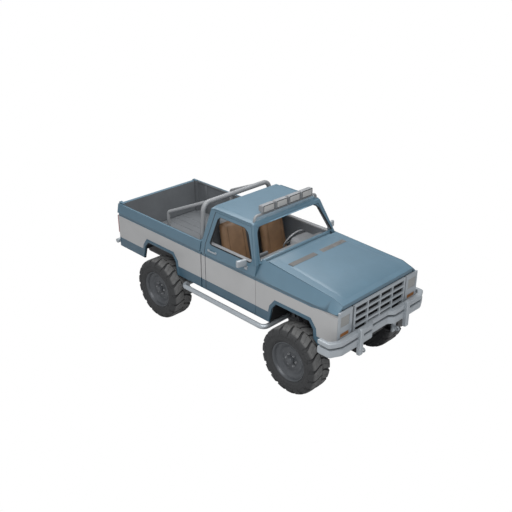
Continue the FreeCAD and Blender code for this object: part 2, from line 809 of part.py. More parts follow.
def make_grille():
    """The grille's frame with its bars and posts, and a bezel for the lamps at each side."""
    body = new_body("grille")
    top = "(hood_lip_z - hood_lip_height - grille_drop)"
    pad(body, "x", box_outline(neg("grille_half"), "grille_half", "grille_low_z", top), NOSE, "grille_wall")
    slot_half = "(grille_half - grille_frame)"
    rise = f"(({top} - grille_low_z - 2 * grille_frame - 3 * grille_bar) / 4)"
    width = f"((2 * {slot_half} - 3 * grille_post) / 4)"
    for column in range(4):
        left = f"({neg(slot_half)} + {column} * ({width} + grille_post))"
        for line in range(4):
            low = f"(grille_low_z + grille_frame + {line} * ({rise} + grille_bar))"
            cut(body, "x", box_outline(left, f"({left} + {width})", low, f"({low} + {rise})"),
                f"({NOSE} - overrun)", "(grille_wall + 2 * overrun)")
    keep(body)
    bezels = new_body("lamp_bezels")
    left = pad(bezels, "x", box_outline("lamp_inner", "lamp_outer", "grille_low_z", top), NOSE,
               "(grille_wall - lens_recess)")
    pits = []
    for low, high in (("lens_low_z", "lens_high_z"), ("turn_low_z", "turn_high_z")):
        pits.append(cut(bezels, "x", box_outline("lens_inner", "lens_outer", low, high), NOSE, "(2 * grille_wall)"))
    mirror(bezels, [left] + pits)
    keep(bezels)
    for label, low, high in (("headlamps", "lens_low_z", "lens_high_z"), ("turn_lamps", "turn_low_z", "turn_high_z")):
        lens = new_body(label)
        one = pad(lens, "x", box_outline("(lens_inner + lens_gap)", "(lens_outer - lens_gap)", f"({low} + lens_gap)",
                                         f"({high} - lens_gap)"), NOSE, "lens_wall")
        mirror(lens, [one])
        keep(lens)


def bumper_plan(front):
    """Half of a bumper rail seen from above: a recess in the front face, and an end that wraps back."""
    inner_half = "(bumper_half - bumper_depth * bumper_end_share)"
    return [
        (f"({front} - bumper_recess)", "0"),
        (f"({front} - bumper_recess)", "bumper_recess_half"),
        (front, "(bumper_recess_half + bumper_recess_slope)"),
        (front, "(bumper_half - bumper_corner)"),
        (f"({front} - bumper_corner / 2)", "bumper_half"),
        (f"({front} - bumper_wrap)", "bumper_half"),
        (f"({front} - bumper_wrap)", inner_half),
        (f"({front} - bumper_corner / 2 - bumper_depth * bumper_end_share)", inner_half),
        (f"({front} - bumper_depth)", f"({inner_half} - bumper_corner / 2)"),
        (f"({front} - bumper_depth)", "0"),
    ]


def make_front_bumper():
    """Two rails one above the other, joined by two uprights, with brackets back to the frame."""
    body = new_body("front_bumper")
    front = "(front_overhang + " + FRONT_AXLE + " - upright_depth)"
    outline = bumper_plan(front)
    halves = [pad(body, "z", outline, "(bumper_upper_z - bumper_upper_height)", "bumper_upper_height"),
              pad(body, "z", outline, "(bumper_lower_z - bumper_lower_height)", "bumper_lower_height")]
    upright = box_outline("(upright_half - upright_width / 2)", "(upright_half + upright_width / 2)",
                          "upright_low_z", "upright_high_z")
    halves.append(pad(body, "x", upright, f"({front} - upright_depth / 2)", "(3 * upright_depth / 2)"))
    bracket = box_outline("(rail_half - rail_width)", "rail_half", "(rail_top_z - rail_height)", "bumper_lower_z")
    halves.append(pad(body, "x", bracket, NOSE, f"({front} - bumper_depth - {NOSE} + running_gap)"))
    eye_x = f"({front} - bumper_depth + tow_eye_reach)"
    eye_z = "(rail_top_z - rail_height / 2)"
    plate = box_outline(f"({front} - bumper_depth)", f"({eye_x} + tow_eye_radius)",
                        f"({eye_z} - tow_eye_radius)", f"({eye_z} + tow_eye_radius)")
    eye_y = "(rail_half - rail_width / 2 - tow_eye_wall / 2)"
    halves.append(pad(body, "y", plate, eye_y, "tow_eye_wall"))
    halves.append(cut(body, "y", ("circle", (eye_x, eye_z), "tow_bore_radius"), f"({eye_y} - overrun)",
                      "(tow_eye_wall + 2 * overrun)"))
    mirror(body, halves)
    keep(body)


def make_bed():
    """The load bed: ribbed floor, two sides cut by the wheel arches, a front wall and wheelhouses."""
    body = new_body("bed")
    length = f"({BED_FRONT} - {BED_REAR})"
    wall = pad(body, "x", side_wall_section("bed_wall"), BED_REAR, length)
    inner = "(body_half - bed_wall)"
    arch = arch_outline(REAR_AXLE, "rear_arch_back", "rear_arch_ahead", "rear_arch_top_z")
    opening = cut(body, "y", arch, "(body_half / 2)", "body_half")
    post = box_outline("tailgate_half", inner, "bed_floor_z", "(belt_z + post_rise)")
    posts = pad(body, "x", post, BED_REAR, "post_length")
    house = arch_outline(REAR_AXLE, "(rear_arch_back + wheelhouse_wall)", "(rear_arch_ahead + wheelhouse_wall)",
                         "(rear_arch_top_z + wheelhouse_wall)", "(bed_floor_z - floor_wall)")
    shell = pad(body, "y", house, "wheelhouse_half", f"({inner} - wheelhouse_half + running_gap)")
    mirror(body, [wall, opening, posts, shell])
    floor = box_outline(neg(inner), inner, "(bed_floor_z - floor_wall)", "bed_floor_z")
    pad(body, "x", floor, BED_REAR, length)
    front = box_outline(neg(inner), inner, "(bed_floor_z - floor_wall)", "belt_z")
    pad(body, "x", front, f"({BED_FRONT} - bed_front_wall)", "bed_front_wall")
    hollow = arch_outline(REAR_AXLE, "rear_arch_back", "rear_arch_ahead", "rear_arch_top_z")
    hollow_half = "(wheelhouse_half + wheelhouse_wall)"
    for start in (hollow_half, neg("body_half")):
        cut(body, "y", hollow, start, f"(body_half - {hollow_half})")
    reach = "(tailgate_pin_length + panel_gap)"
    for start in ("(tailgate_half - panel_gap)", neg(f"(tailgate_half - panel_gap + {reach})")):
        cut(body, "y", ("circle", tailgate_axis(), "(tailgate_pin_radius + running_gap)"), start, reach)
    keep(body)


def tailgate_axis():
    """Where the tailgate's pins lie, seen from the side."""
    return (f"({BED_REAR} + tailgate_pin_inset)", "(bed_floor_z + tailgate_gap + tailgate_pin_inset)")


def make_tailgate():
    """The tailgate: one pressed panel between the bed's rear posts, hinged at its lower rear edge."""
    body = new_body("tailgate")
    half = "(tailgate_half - panel_gap)"
    low = "(bed_floor_z + tailgate_gap)"
    panel = box_outline(neg(half), half, low, "belt_z")
    pad(body, "x", panel, BED_REAR, "tailgate_wall")
    recess = box_outline(neg("(tailgate_half - 2 * post_length)"), "(tailgate_half - 2 * post_length)",
                         "(bed_floor_z + post_length)", "(belt_z - post_length)")
    cut(body, "x", recess, f"({BED_REAR} - overrun)", "(overrun + stripe_tuck)")
    centre = tailgate_axis()
    for start in (half, neg(f"({half} + tailgate_pin_length)")):
        pad(body, "y", ("circle", centre, "tailgate_pin_radius"), start, "tailgate_pin_length")
    keep(body)


def make_tail_lamps():
    """Upright red lamps on the bed's rear corners."""
    body = new_body("tail_lamps")
    outline = box_outline("(body_half - tail_lamp_width)", "body_half", "tail_lamp_low_z", "tail_lamp_high_z")
    one = pad(body, "x", outline, f"({BED_REAR} - tail_lamp_wall)", "tail_lamp_wall")
    mirror(body, [one])
    keep(body)


def make_rear_bumper():
    """A tube across the tail on two arms from the frame, with a drawbar that has a hitch hole."""
    rear = number(REAR_END) + number("rear_bumper_radius")
    height = number("rear_bumper_z") - number("rear_bumper_radius")
    half = number("rear_bumper_half")
    radius = number("rear_bumper_radius")
    tube = Part.makeCylinder(radius, 2 * half, Vector(rear, -half, height), Vector(0, 1, 0))
    arms = []
    frame_rear = number(f"({BED_REAR} + rail_rear_inset)")
    for side in (1, -1):
        inner = side * (number("rail_half") - number("rail_width") / 2)
        low = number("rail_top_z - rail_height")
        arm = Part.makeBox(frame_rear - rear, number("rail_width"), height - low,
                           Vector(rear, inner - number("rail_width") / 2, low))
        arms.append(arm)
    low = number("rail_top_z - rail_height")
    width = number("rail_width")
    beam = Part.makeBox(width, 2 * number("rail_half"), width, Vector(frame_rear - width, -number("rail_half"), low))
    end = number(REAR_END)
    bar = Part.makeBox(frame_rear - width / 2 - end, number("drawbar_width"), number("drawbar_height"),
                       Vector(end, -number("drawbar_width / 2"), low))
    body = feature_from("rear_bumper", [tube, bar, beam] + arms)
    hole = Part.makeCylinder(number("hitch_bore_radius"), number("drawbar_height + 2 * overrun"),
                             Vector(end + number("drawbar_width / 3"), 0, low - number("overrun")))
    body.Shape = body.Shape.cut(hole)
    body.Placement = Placement()
    keep(body)


def make_glass():
    """The windshield and the rear window as flat panes in their openings."""
    lean = math.atan2(number("shield_top_back"), number("roof_edge_z - belt_z"))
    panes = []
    for half_low, half_high, low, high, sign, foot, tilt in (
            ("shield_low_half", "shield_top_half", "shield_low_z", "shield_high_z", 1, DOOR_FRONT, lean),
            ("rear_glass_half", "rear_glass_half", "rear_glass_low_z", "rear_glass_high_z", -1, CAB_BACK,
             -math.atan2(number("back_lean"), number("roof_edge_z - belt_z")))):
        inset = number("frame_wall") / 2
        corners = []
        for half, height in ((half_low, low), (half_high, high)):
            rise = number(height) - number("belt_z")
            along = number(foot) - sign * inset - rise * math.tan(tilt)
            shrink = number("lens_gap") / 2
            corners.append(Vector(along, number(half) - shrink, number(height) + (shrink if height == low else -shrink)))
        low_left, high_left = corners
        loop = [low_left, high_left, Vector(high_left.x, -high_left.y, high_left.z),
                Vector(low_left.x, -low_left.y, low_left.z), low_left]
        face = Part.Face(Part.makePolygon(loop))
        panes.append(face.extrude(Vector(number("glass_wall"), 0, 0)))
    keep(group_from("cab_glass", panes))


def tyre_section():
    """Half of the tyre's section: radius against the distance from its middle."""
    half = "(tyre_width / 2)"
    tread = "(tyre_radius - lug_height)"
    return [
        ("0", "(rim_radius - 2 * rim_wall)"),
        (f"({half} - shoulder_inset)", "(rim_radius - 2 * rim_wall)"),
        (f"({half} - shoulder_inset / 2)", "rim_radius"),
        (half, "bulge_radius"),
        (f"({half} - shoulder_inset / 3)", f"({tread} - shoulder_drop)"),
        (f"({half} - shoulder_inset)", tread),
        ("0", f"({tread} + crown_rise)"),
    ]


def make_tyre(label, x, side):
    """A tyre: a turned carcass with bars that run from the crown over each shoulder."""
    body = new_body(label)
    outline = tyre_section()
    closed = outline + [(neg(u), v) for u, v in reversed(outline[1:-1])]
    revolve(body, "Revolution", [(v, u) for u, v in closed], "XY_Plane", "Y_Axis")
    bars = []
    for sign in (1, -1):
        bars.append(lug_bar(body, sign))
    pattern = body.newObject("PartDesign::PolarPattern", f"{label}_lugs")
    pattern.Originals = bars
    pattern.Axis = (origin_item(body, "Y_Axis"), [""])
    pattern.Angle = 360
    pattern.setExpression("Occurrences", "Sizes.lug_count")
    body.Tip = pattern
    place(body, x, f"({side} * wheel_track / 2)", "tyre_radius", 0)
    return keep(body)


def lug_bar(body, sign):
    """One bar of tread, drawn on the ground plane and raised to the tyre's full radius."""
    half = "(tyre_width / 2)"
    lead = "(lug_width * lug_lead_share)"
    y_out = f"({half} - shoulder_inset / 2)"
    start = neg("lug_width / 2") if sign > 0 else "(lug_width / 2)"
    skew = "0"
    outline = [
        (f"({neg('lug_width')} / 2 - {lead})", f"({sign} * {y_out})"),
        (f"(lug_width / 2 - {lead})", f"({sign} * {y_out})"),
        (f"(lug_width / 2 + {lead})", f"({sign} * lug_centre_gap)"),
        (f"({neg('lug_width')} / 2 + {lead})", f"({sign} * lug_centre_gap)"),
    ]
    if sign < 0:
        outline = list(reversed(outline))
    depth = "(2 * lug_height + shoulder_drop)"
    return pad(body, "z", outline, f"({neg('tyre_radius')})", depth)


def make_rim(label, x, side):
    """A deep steel wheel: a turned barrel with its flanges, a disc set well in, a hub and nuts."""
    body = new_body(label)
    half = "(tyre_width / 2 - shoulder_inset)"
    gap = "(rim_radius - 2 * rim_wall - running_gap)"
    well = "rim_well_radius"
    disc = f"({half} - disc_inset)"
    outline = [
        (neg(half), gap),
        (neg(half), f"({gap} - rim_wall)"),
        (f"({neg(half)} + rim_wall)", f"({gap} - rim_wall)"),
        (f"({neg(half)} + 5 * rim_wall)", f"({well} - rim_wall)"),
        (f"({disc} - disc_wall)", f"({well} - rim_wall)"),
        (f"({disc} - disc_wall)", "(spindle_radius + running_gap)"),
        (f"({disc} + hub_length - disc_wall)", "(spindle_radius + running_gap)"),
        (f"({disc} + hub_length - disc_wall)", "(hub_radius - rim_wall)"),
        (f"({disc} + hub_length - 2 * disc_wall)", "hub_radius"),
        (disc, "hub_radius"),
        (disc, f"({well} - 3 * rim_wall)"),
        (f"({disc} + 2 * rim_wall)", f"({well} - rim_wall)"),
        (f"({half} - rim_wall)", f"({gap} - 2 * rim_wall)"),
        (half, f"({gap} - rim_wall)"),
        (half, gap),
        (f"({half} - 2 * rim_wall)", gap),
        (f"({disc} + 3 * rim_wall / 2)", f"{well}"),
        (f"({neg(half)} + 5 * rim_wall)", f"{well}"),
        (f"({neg(half)} + 2 * rim_wall)", gap),
    ]
    points = [(radius, f"({side} * {along})") for along, radius in outline]
    revolve(body, "Revolution", points, "XY_Plane", "Y_Axis")
    start = disc if side > 0 else f"({neg(disc)} - disc_wall)"
    nut = pad(body, "y", ("circle", ("nut_circle", "0"), "nut_radius"), start, "disc_wall")
    pattern = body.newObject("PartDesign::PolarPattern", f"{label}_nuts")
    pattern.Originals = [nut]
    pattern.Axis = (origin_item(body, "Y_Axis"), [""])
    pattern.Angle = 360
    pattern.setExpression("Occurrences", "Sizes.nut_count")
    body.Tip = pattern
    place(body, x, f"({side} * wheel_track / 2)", "tyre_radius")
    return keep(body)


def spindle_end():
    """How far out a spindle reaches from the truck's middle: into the hub's bore, short of its cap."""
    disc = "(tyre_width / 2 - shoulder_inset - disc_inset)"
    return f"(wheel_track / 2 + {disc} + hub_length - 2 * disc_wall)"


def spindle_shoulder():
    """Where the wheel's disc bears, from the truck's middle."""
    return "(wheel_track / 2 + tyre_width / 2 - shoulder_inset - disc_inset - disc_wall - running_gap)"


def make_front_axle():
    """The steered axle: a tube with its differential housing and an open yoke at each end."""
    centre = number("tyre_radius")
    x = number(FRONT_AXLE)
    reach = number("kingpin_half - knuckle_width / 2 - yoke_wall - panel_gap")
    tube = Part.makeCylinder(number("axle_tube_radius"), 2 * reach, Vector(x, -reach, centre), Vector(0, 1, 0))
    pumpkin = Part.makeSphere(number("pumpkin_radius"), Vector(x, number("pumpkin_offset"), centre))
    pinion = Part.makeCylinder(number("pumpkin_radius / 2"), number("1.6 * pumpkin_radius"),
                               Vector(x, number("pumpkin_offset"), centre), Vector(-1, 0, 0))
    solids = [tube, pumpkin, pinion]
    for side in (1, -1):
        solids += [yoke_solid(x, side, centre)]
    keep(feature_from("front_axle", solids))


def yoke_solid(x, side, centre):
    """A C-shaped yoke that holds the knuckle above and below."""
    wall = number("yoke_wall")
    half = number("knuckle_height") / 2 + number("running_gap")
    inner = number("kingpin_half - knuckle_width / 2 - panel_gap")
    width = number("yoke_width")
    reach = number("knuckle_width") + wall
    back = Part.makeBox(width, wall, 2 * (half + wall), Vector(x - width / 2, inner - wall, centre - half - wall))
    top = Part.makeBox(width, reach, wall, Vector(x - width / 2, inner - wall, centre + half))
    low = Part.makeBox(width, reach, wall, Vector(x - width / 2, inner - wall, centre - half - wall))
    pin = Part.makeCylinder(number("pin_radius"), 2 * half + wall, Vector(x, number("kingpin_half"), centre - half - wall / 2))
    solid = back.multiFuse([top, low, pin])
    return solid if side > 0 else flipped(solid)


def make_knuckle(label, side):
    """A steering knuckle: a block on the kingpin, the wheel's spindle and the steering arm."""
    centre = number("tyre_radius")
    x = number(FRONT_AXLE)
    pin_y = number("kingpin_half")
    width = number("knuckle_width")
    height = number("knuckle_height")
    block = Part.makeCylinder(width / 2, height, Vector(x, pin_y, centre - height / 2))
    shoulder = number(spindle_shoulder())
    hub = Part.makeCylinder(number("hub_radius"), shoulder - pin_y, Vector(x, pin_y, centre), Vector(0, 1, 0))
    spindle = rod_solid(Vector(x, pin_y, centre), Vector(x, number(spindle_end()), centre), number("spindle_radius"))
    wall = number("arm_wall")
    arm_z = centre - number("arm_drop")
    arm = Part.makeBox(number("arm_length"), width / 3, wall, Vector(x, pin_y - width / 6, arm_z - wall))
    end = Part.makeCylinder(number("eye_radius"), wall, Vector(x + number("arm_length"), pin_y, arm_z - wall))
    stud = Part.makeCylinder(number("pin_radius"), 2 * number("rod_radius"),
                             Vector(x + number("arm_length"), pin_y, arm_z - wall - 2 * number("rod_radius")))
    solid = block.multiFuse([hub, spindle, arm, end, stud])
    bore = Part.makeCylinder(number("pin_radius + running_gap"), 2 * height, Vector(x, pin_y, centre - height))
    solid = solid.cut(bore)
    item = feature_from(label, [solid if side > 0 else flipped(solid)])
    keep(item)


def make_tie_rod():
    """The rod between the two steering arms, with an eye round each arm's stud."""
    x = number(FRONT_AXLE) + number("arm_length")
    radius = number("rod_radius")
    z = number("tyre_radius - arm_drop - arm_wall - rod_radius") - number("running_gap")
    half = number("kingpin_half")
    solids = [Part.makeCylinder(radius, 2 * half, Vector(x, -half, z), Vector(0, 1, 0))]
    for side in (1, -1):
        solids.append(Part.makeCylinder(number("eye_radius"), 2 * radius, Vector(x, side * half, z - radius)))
    rod = solids[0].multiFuse(solids[1:])
    for side in (1, -1):
        rod = rod.cut(Part.makeCylinder(number("pin_radius + running_gap"), 4 * radius,
                                        Vector(x, side * half, z - 2 * radius)))
    keep(feature_from("tie_rod", [rod]))


def make_rear_axle():
    """The driven rear axle: a tube, the differential housing and a spindle at each end."""
    centre = number("tyre_radius")
    x = number(REAR_AXLE)
    shoulder = number(spindle_shoulder())
    tube = Part.makeCylinder(number("axle_tube_radius"), 2 * shoulder, Vector(x, -shoulder, centre), Vector(0, 1, 0))
    pumpkin = Part.makeSphere(number("pumpkin_radius"), Vector(x, 0, centre))
    pinion = Part.makeCylinder(number("pumpkin_radius / 2"), number("1.6 * pumpkin_radius"), Vector(x, 0, centre),
                               Vector(1, 0, 0))
    reach = number(spindle_end())
    spindles = Part.makeCylinder(number("spindle_radius"), 2 * reach, Vector(x, -reach, centre), Vector(0, 1, 0))
    solids = [tube, pumpkin, pinion, spindles]
    for side in (1, -1):
        drum = Part.makeCylinder(number("drum_radius"), number("drum_width"),
                                 Vector(x, side * shoulder, centre), Vector(0, -side, 0))
        solids.append(drum)
    keep(feature_from("rear_axle", solids))


def make_frame():
    """The ladder frame: two channel rails that rise over the axles, with crossmembers and body mounts."""
    body = new_body("frame")
    front = NOSE
    rear = f"({BED_REAR} + rail_rear_inset)"
    low = "(rail_top_z - rail_height)"
    outline = box_outline(rear, front, low, "rail_top_z")
    inner = "(rail_half - rail_width)"
    rail = pad(body, "y", outline, inner, "rail_width")
    channel = box_outline(f"({rear} - overrun)", f"({front} + overrun)", f"({low} + rail_wall)",
                          "(rail_top_z - rail_wall)")
    groove = cut(body, "y", channel, f"({inner} - overrun)", "(overrun + rail_width - rail_wall)")
    mirror(body, [rail, groove])
    web = "(rail_half - rail_wall / 2)"
    members = [f"({front} - 2 * member_width)", DOOR_REAR, f"({REAR_AXLE} + spring_reach)", rear]
    for start in members:
        section = box_outline(neg(web), web, "(rail_top_z - rail_wall - member_height)", "(rail_top_z - rail_wall)")
        pad(body, "x", section, f"({start})", "member_width")
    pad(body, "x", box_outline(neg(web), web, low, f"({low} + rail_wall)"), f"({GEARBOX_REAR} + rail_wall)",
        "member_width")
    mounts = [f"({CAB_BACK} + member_width)", f"({DOOR_FRONT} - member_width)"]
    for start in mounts:
        for outer in ("(rail_half - rail_width)", neg("rail_half")):
            pad(body, "z", box_outline(start, f"({start} + member_width)", outer, f"({outer} + rail_width)"),
                "(rail_top_z - rail_wall / 2)", "(cab_floor_z - rail_top_z + rail_wall / 2)")
    beds = [f"({BED_REAR} + 2 * member_width)", f"({REAR_AXLE} - member_width / 2)", f"({BED_FRONT} - 3 * member_width)"]
    for start in beds:
        for outer in ("(rail_half - rail_width)", neg("rail_half")):
            pad(body, "z", box_outline(start, f"({start} + member_width)", outer, f"({outer} + rail_width)"),
                "(rail_top_z - rail_wall / 2)", "(bed_floor_z - floor_wall - rail_top_z + rail_wall / 2)")
    for outer in ("(rail_half - rail_width)", neg("rail_half")):
        pad(body, "z", box_outline(f"({NOSE} - support_wall)", NOSE, outer, f"({outer} + rail_width)"),
            "(rail_top_z - rail_wall / 2)", "(front_arch_low_z - rail_top_z + rail_wall / 2)")
    keep(body)


def make_springs():
    """Leaf springs: an arc of leaves under each rail, with eyes hung from the frame."""
    solids = []
    for axle in (FRONT_AXLE, REAR_AXLE):
        x = number(axle)
        reach = number("spring_reach")
        wall = number("spring_wall")
        top = number("tyre_radius + axle_tube_radius")
        rise = number("spring_rise")
        low = [Vector(x - reach, 0, top + rise), Vector(x, 0, top), Vector(x + reach, 0, top + rise)]
        high = [point + Vector(0, 0, wall) for point in low]
        edges = [Part.Arc(*low).toShape(), Part.makeLine(low[2], high[2]), Part.Arc(*reversed(high)).toShape(),
                 Part.makeLine(high[0], low[0])]
        face = Part.Face(Part.Wire(edges))
        for side in (1, -1):
            centre = side * number("spring_half")
            width = number("spring_width")
            leaf = face.extrude(Vector(0, width, 0))
            leaf.translate(Vector(0, centre - width / 2, 0))
            pieces = [leaf]
            for end in (-1, 1):
                hanger_top = number("rail_top_z - rail_height")
                pieces.append(Part.makeBox(wall, width, hanger_top - top - rise,
                                           Vector(x + end * reach - (wall if end > 0 else 0), centre - width / 2, top + rise)))
            solids.append(pieces[0].multiFuse(pieces[1:]).removeSplitter())
    keep(group_from("leaf_springs", solids))


def make_shocks():
    """Dampers that lean from a peg on each axle up to the frame or its tower."""
    solids = []
    front_head = (neg("shock_front_lean"), "shock_front_head_half", "shock_front_head_z")
    rear_head = ("shock_rear_lean", "(rail_half + shock_radius)", "(rail_top_z - 2 * rail_wall)")
    for axle, lean, foot_half, head in ((FRONT_AXLE, -1, "shock_front_foot_half", front_head),
                                        (REAR_AXLE, 1, "shock_rear_foot_half", rear_head)):
        x = number(axle)
        foot = Vector(x + lean * number("shock_offset"), number(foot_half), number("tyre_radius"))
        top = Vector(x + number(head[0]), number(head[1]), number(head[2]))
        body = rod_solid(foot + (top - foot) * number("shock_body_share"), top, number("shock_radius"))
        rod = rod_solid(foot, top, number("shock_radius / 2"))
        peg = rod_solid(Vector(x, foot.y, foot.z), foot, number("shock_radius / 2"))
        pieces = [rod, peg]
        if lean < 0:
            wall = number("tower_wall")
            low = Vector(top.x - wall / 2, number("rail_half - rail_width"), number("rail_top_z"))
            pieces.append(Part.makeBox(wall, top.y + number("shock_radius") - low.y, top.z - low.z, low))
        solid = body.multiFuse(pieces).cut(doc.getObject("front_axle" if lean < 0 else "rear_axle").Shape)
        solid = solid.removeSplitter()
        solids += [solid, flipped(solid)]
    keep(group_from("shock_absorbers", solids))


def make_power():
    """The engine as one block, the gearbox with its transfer case, the shafts, the exhaust and the tank."""
    length = number("engine_length")
    low = number("engine_low_z")
    rear = number(ENGINE_REAR)
    width = number("engine_width")
    engine = Part.makeBox(length, width, number("engine_height"), Vector(rear, -width / 2, low))
    arms = Part.makeBox(number("member_width"), 2 * number("rail_half - rail_wall"), number("rail_width"),
                        Vector(rear + length / 2, -number("rail_half - rail_wall"), number("rail_top_z")))
    keep(feature_from("engine_block", [engine, arms]))
    axis_z = number("rail_top_z - rail_height + rail_wall + tail_radius")
    case = Part.makeCylinder(number("gearbox_radius"), number("gearbox_length"), Vector(rear, 0, axis_z), Vector(-1, 0, 0))
    end = number(GEARBOX_REAR)
    tail = Part.makeCylinder(number("tail_radius"), rear - end, Vector(rear, 0, axis_z), Vector(-1, 0, 0))
    transfer = Part.makeBox(number("transfer_length"), number("pumpkin_offset + tail_radius / 2"), number("1.5 * tail_radius"),
                            Vector(end, 0, axis_z - number("0.75 * tail_radius")))
    gearbox = keep(feature_from("transmission", [case, tail, transfer]))
    reach = number("1.6 * pumpkin_radius")
    centre = number("tyre_radius")
    side = number("pumpkin_offset")
    front_shaft = rod_solid(Vector(end + number("transfer_length") / 2, side, axis_z),
                            Vector(number(FRONT_AXLE) - reach + number("overrun"), side, centre), number("shaft_radius"))
    rear_shaft = rod_solid(Vector(end + number("overrun"), 0, axis_z),
                           Vector(number(REAR_AXLE) + reach - number("overrun"), 0, centre), number("shaft_radius"))
    shafts = [front_shaft.cut(gearbox.Shape).cut(doc.getObject("front_axle").Shape),
              rear_shaft.cut(gearbox.Shape).cut(doc.getObject("rear_axle").Shape)]
    keep(group_from("driveshafts", shafts))


def make_exhaust():
    """The exhaust pipe along the right rail, with its muffler ahead of the rear axle."""
    x = number(f"({ENGINE_REAR} + member_width)")
    pipe_y = -number("pipe_half")
    pipe_z = number("pipe_z")
    radius = number("pipe_radius")
    start = Vector(x, -number("engine_width / 2 - 2 * pipe_radius"), number("engine_low_z"))
    points = [start, start + Vector(0, 0, pipe_z - start.z), Vector(x - number("member_width") * 3, pipe_y, pipe_z),
              Vector(number(f"({BED_REAR} + member_width)"), pipe_y, pipe_z)]
    pipe = tube_solid(points, radius, [1.2 * radius, 6 * radius])
    muffler = Part.makeCylinder(number("muffler_radius"), number("muffler_length"),
                                Vector(number(CAB_BACK), pipe_y, pipe_z), Vector(1, 0, 0))
    keep(feature_from("exhaust", [pipe, muffler]))


def make_tank():
    """The fuel tank slung under the rear crossmember."""
    rear = number(f"({BED_REAR} + rail_rear_inset)")
    top = number("rail_top_z - rail_wall - member_height")
    width = number("tank_width")
    height = number("tank_height")
    tank = Part.makeBox(number("tank_length"), width, height, Vector(rear, -width / 2, top - height))
    edges = [edge for edge in tank.Edges if abs(edge.tangentAt(0).x) > 0.5]
    keep(feature_from("fuel_tank", [tank.makeFillet(number("tank_height") / 4, edges)]))


def make_inner_fenders():
    """Dark liners over the front wheels, from the fender's skin in to a wall beside the engine."""
    body = new_body("inner_fenders")
    outer = arch_outline(FRONT_AXLE, "(front_arch_back + liner_wall)", "(front_arch_ahead + liner_wall)",
                         "(front_arch_top_z + liner_wall)", "sill_z", "arch_kick")
    reach = "(body_half - skin_wall - fender_inner_half)"
    shell = pad(body, "y", outer, "fender_inner_half", reach)
    inner = arch_outline(FRONT_AXLE, "front_arch_back", "front_arch_ahead", "front_arch_top_z", kick="arch_kick")
    hollow = cut(body, "y", inner, "(fender_inner_half + liner_wall)", reach)
    low = box_outline(f"({FRONT_AXLE} - body_half)", f"({FRONT_AXLE} + body_half)", "(sill_z - overrun)",
                      "rail_top_z")
    trim = cut(body, "y", low, "(fender_inner_half - overrun)", "(liner_wall + overrun)")
    front = box_outline(FRONT_AXLE, f"({NOSE} + overrun)", "(sill_z - overrun)", "front_arch_low_z")
    lift = cut(body, "y", front, "(fender_inner_half - overrun)", f"({reach} + 2 * overrun)")
    notch = box_outline(f"({FRONT_AXLE} - shock_front_lean - tower_wall)",
                        f"({FRONT_AXLE} - shock_front_lean + 3 * tower_wall)",
                        "(rail_top_z - overrun)", "(shock_front_head_z + liner_wall)")
    tower = cut(body, "y", notch, "(fender_inner_half - overrun)", "(liner_wall + overrun)")
    mirror(body, [shell, hollow, trim, lift, tower])
    keep(body)


def make_step_bars():
    """Side step tubes whose ends turn in to the frame rails."""
    front = number(f"({DOOR_FRONT} + step_front_ahead)")
    rear = front - number("step_length")
    inner = number("rail_half")
    out = number("step_half")
    z = number("step_z")
    points = [Vector(front, inner, z), Vector(front, out, z), Vector(rear, out, z), Vector(rear, inner, z)]
    tube = tube_solid(points, number("step_radius"), [number("step_bend")] * 2)
    keep(group_from("step_bars", [tube, flipped(tube)]))


def make_roll_bar():
    """The roll hoop in the bed behind the cab, and a stay each side back to the wheelhouse's top."""
    x = number(f"({BED_FRONT} - roll_behind)")
    floor = number("bed_floor_z")
    top = number("roll_top_z - roll_radius")
    half = number("roll_half")
    foot = number("roll_foot_half")
    bend = number("roll_bend")
    radius = number("roll_radius")
    bed = doc.getObject("bed").Shape
    hoop = tube_solid([Vector(x, foot, floor), Vector(x, half, top), Vector(x, -half, top), Vector(x, -foot, floor)],
                      radius, [bend, bend])
    keep(feature_from("roll_hoop", [hoop.cut(bed)]))
    back = x - number("stay_foot_behind")
    stay_y = number("stay_half")
    foot_z = number("rear_arch_top_z + wheelhouse_wall")
    low = Vector(back, stay_y, number("stay_low_z"))
    head = Vector(x, number("stay_head_half"), top)
    stay = tube_solid([Vector(back, stay_y, foot_z), low, head], number("stay_radius"), [number("stay_bend")])
    stay = stay.cut(hoop)
    keep(group_from("roll_stays", [stay, flipped(stay)]))


def make_light_bar():
    """The tube over the cab's roof and the square lamps that stand on it."""
    x = number(f"({SHIELD_TOP} - bar_behind)")
    half = number("bar_half")
    z = number("bar_z")
    foot = number("roof_edge_z")
    tube = tube_solid([Vector(x, half, foot), Vector(x, half, z), Vector(x, -half, z), Vector(x, -half, foot)],
                      number("bar_radius"), [number("bar_bend")] * 2)
    outside = max(tube.cut(doc.getObject("cab_shell").Shape).Solids, key=lambda solid: solid.Volume)
    keep(feature_from("light_bar", [outside]))
    lamps = []
    count = round(number("roof_lamp_count"))
    for index in range(count):
        y = (index - (count - 1) / 2) * number("roof_lamp_pitch")
        width = number("roof_lamp_width")
        lamps.append(Part.makeBox(number("roof_lamp_depth"), width, number("roof_lamp_height"),
                                  Vector(x - number("roof_lamp_depth") / 2, y - width / 2,
                                         z + number("bar_radius"))))
    keep(group_from("roof_lamps", lamps))


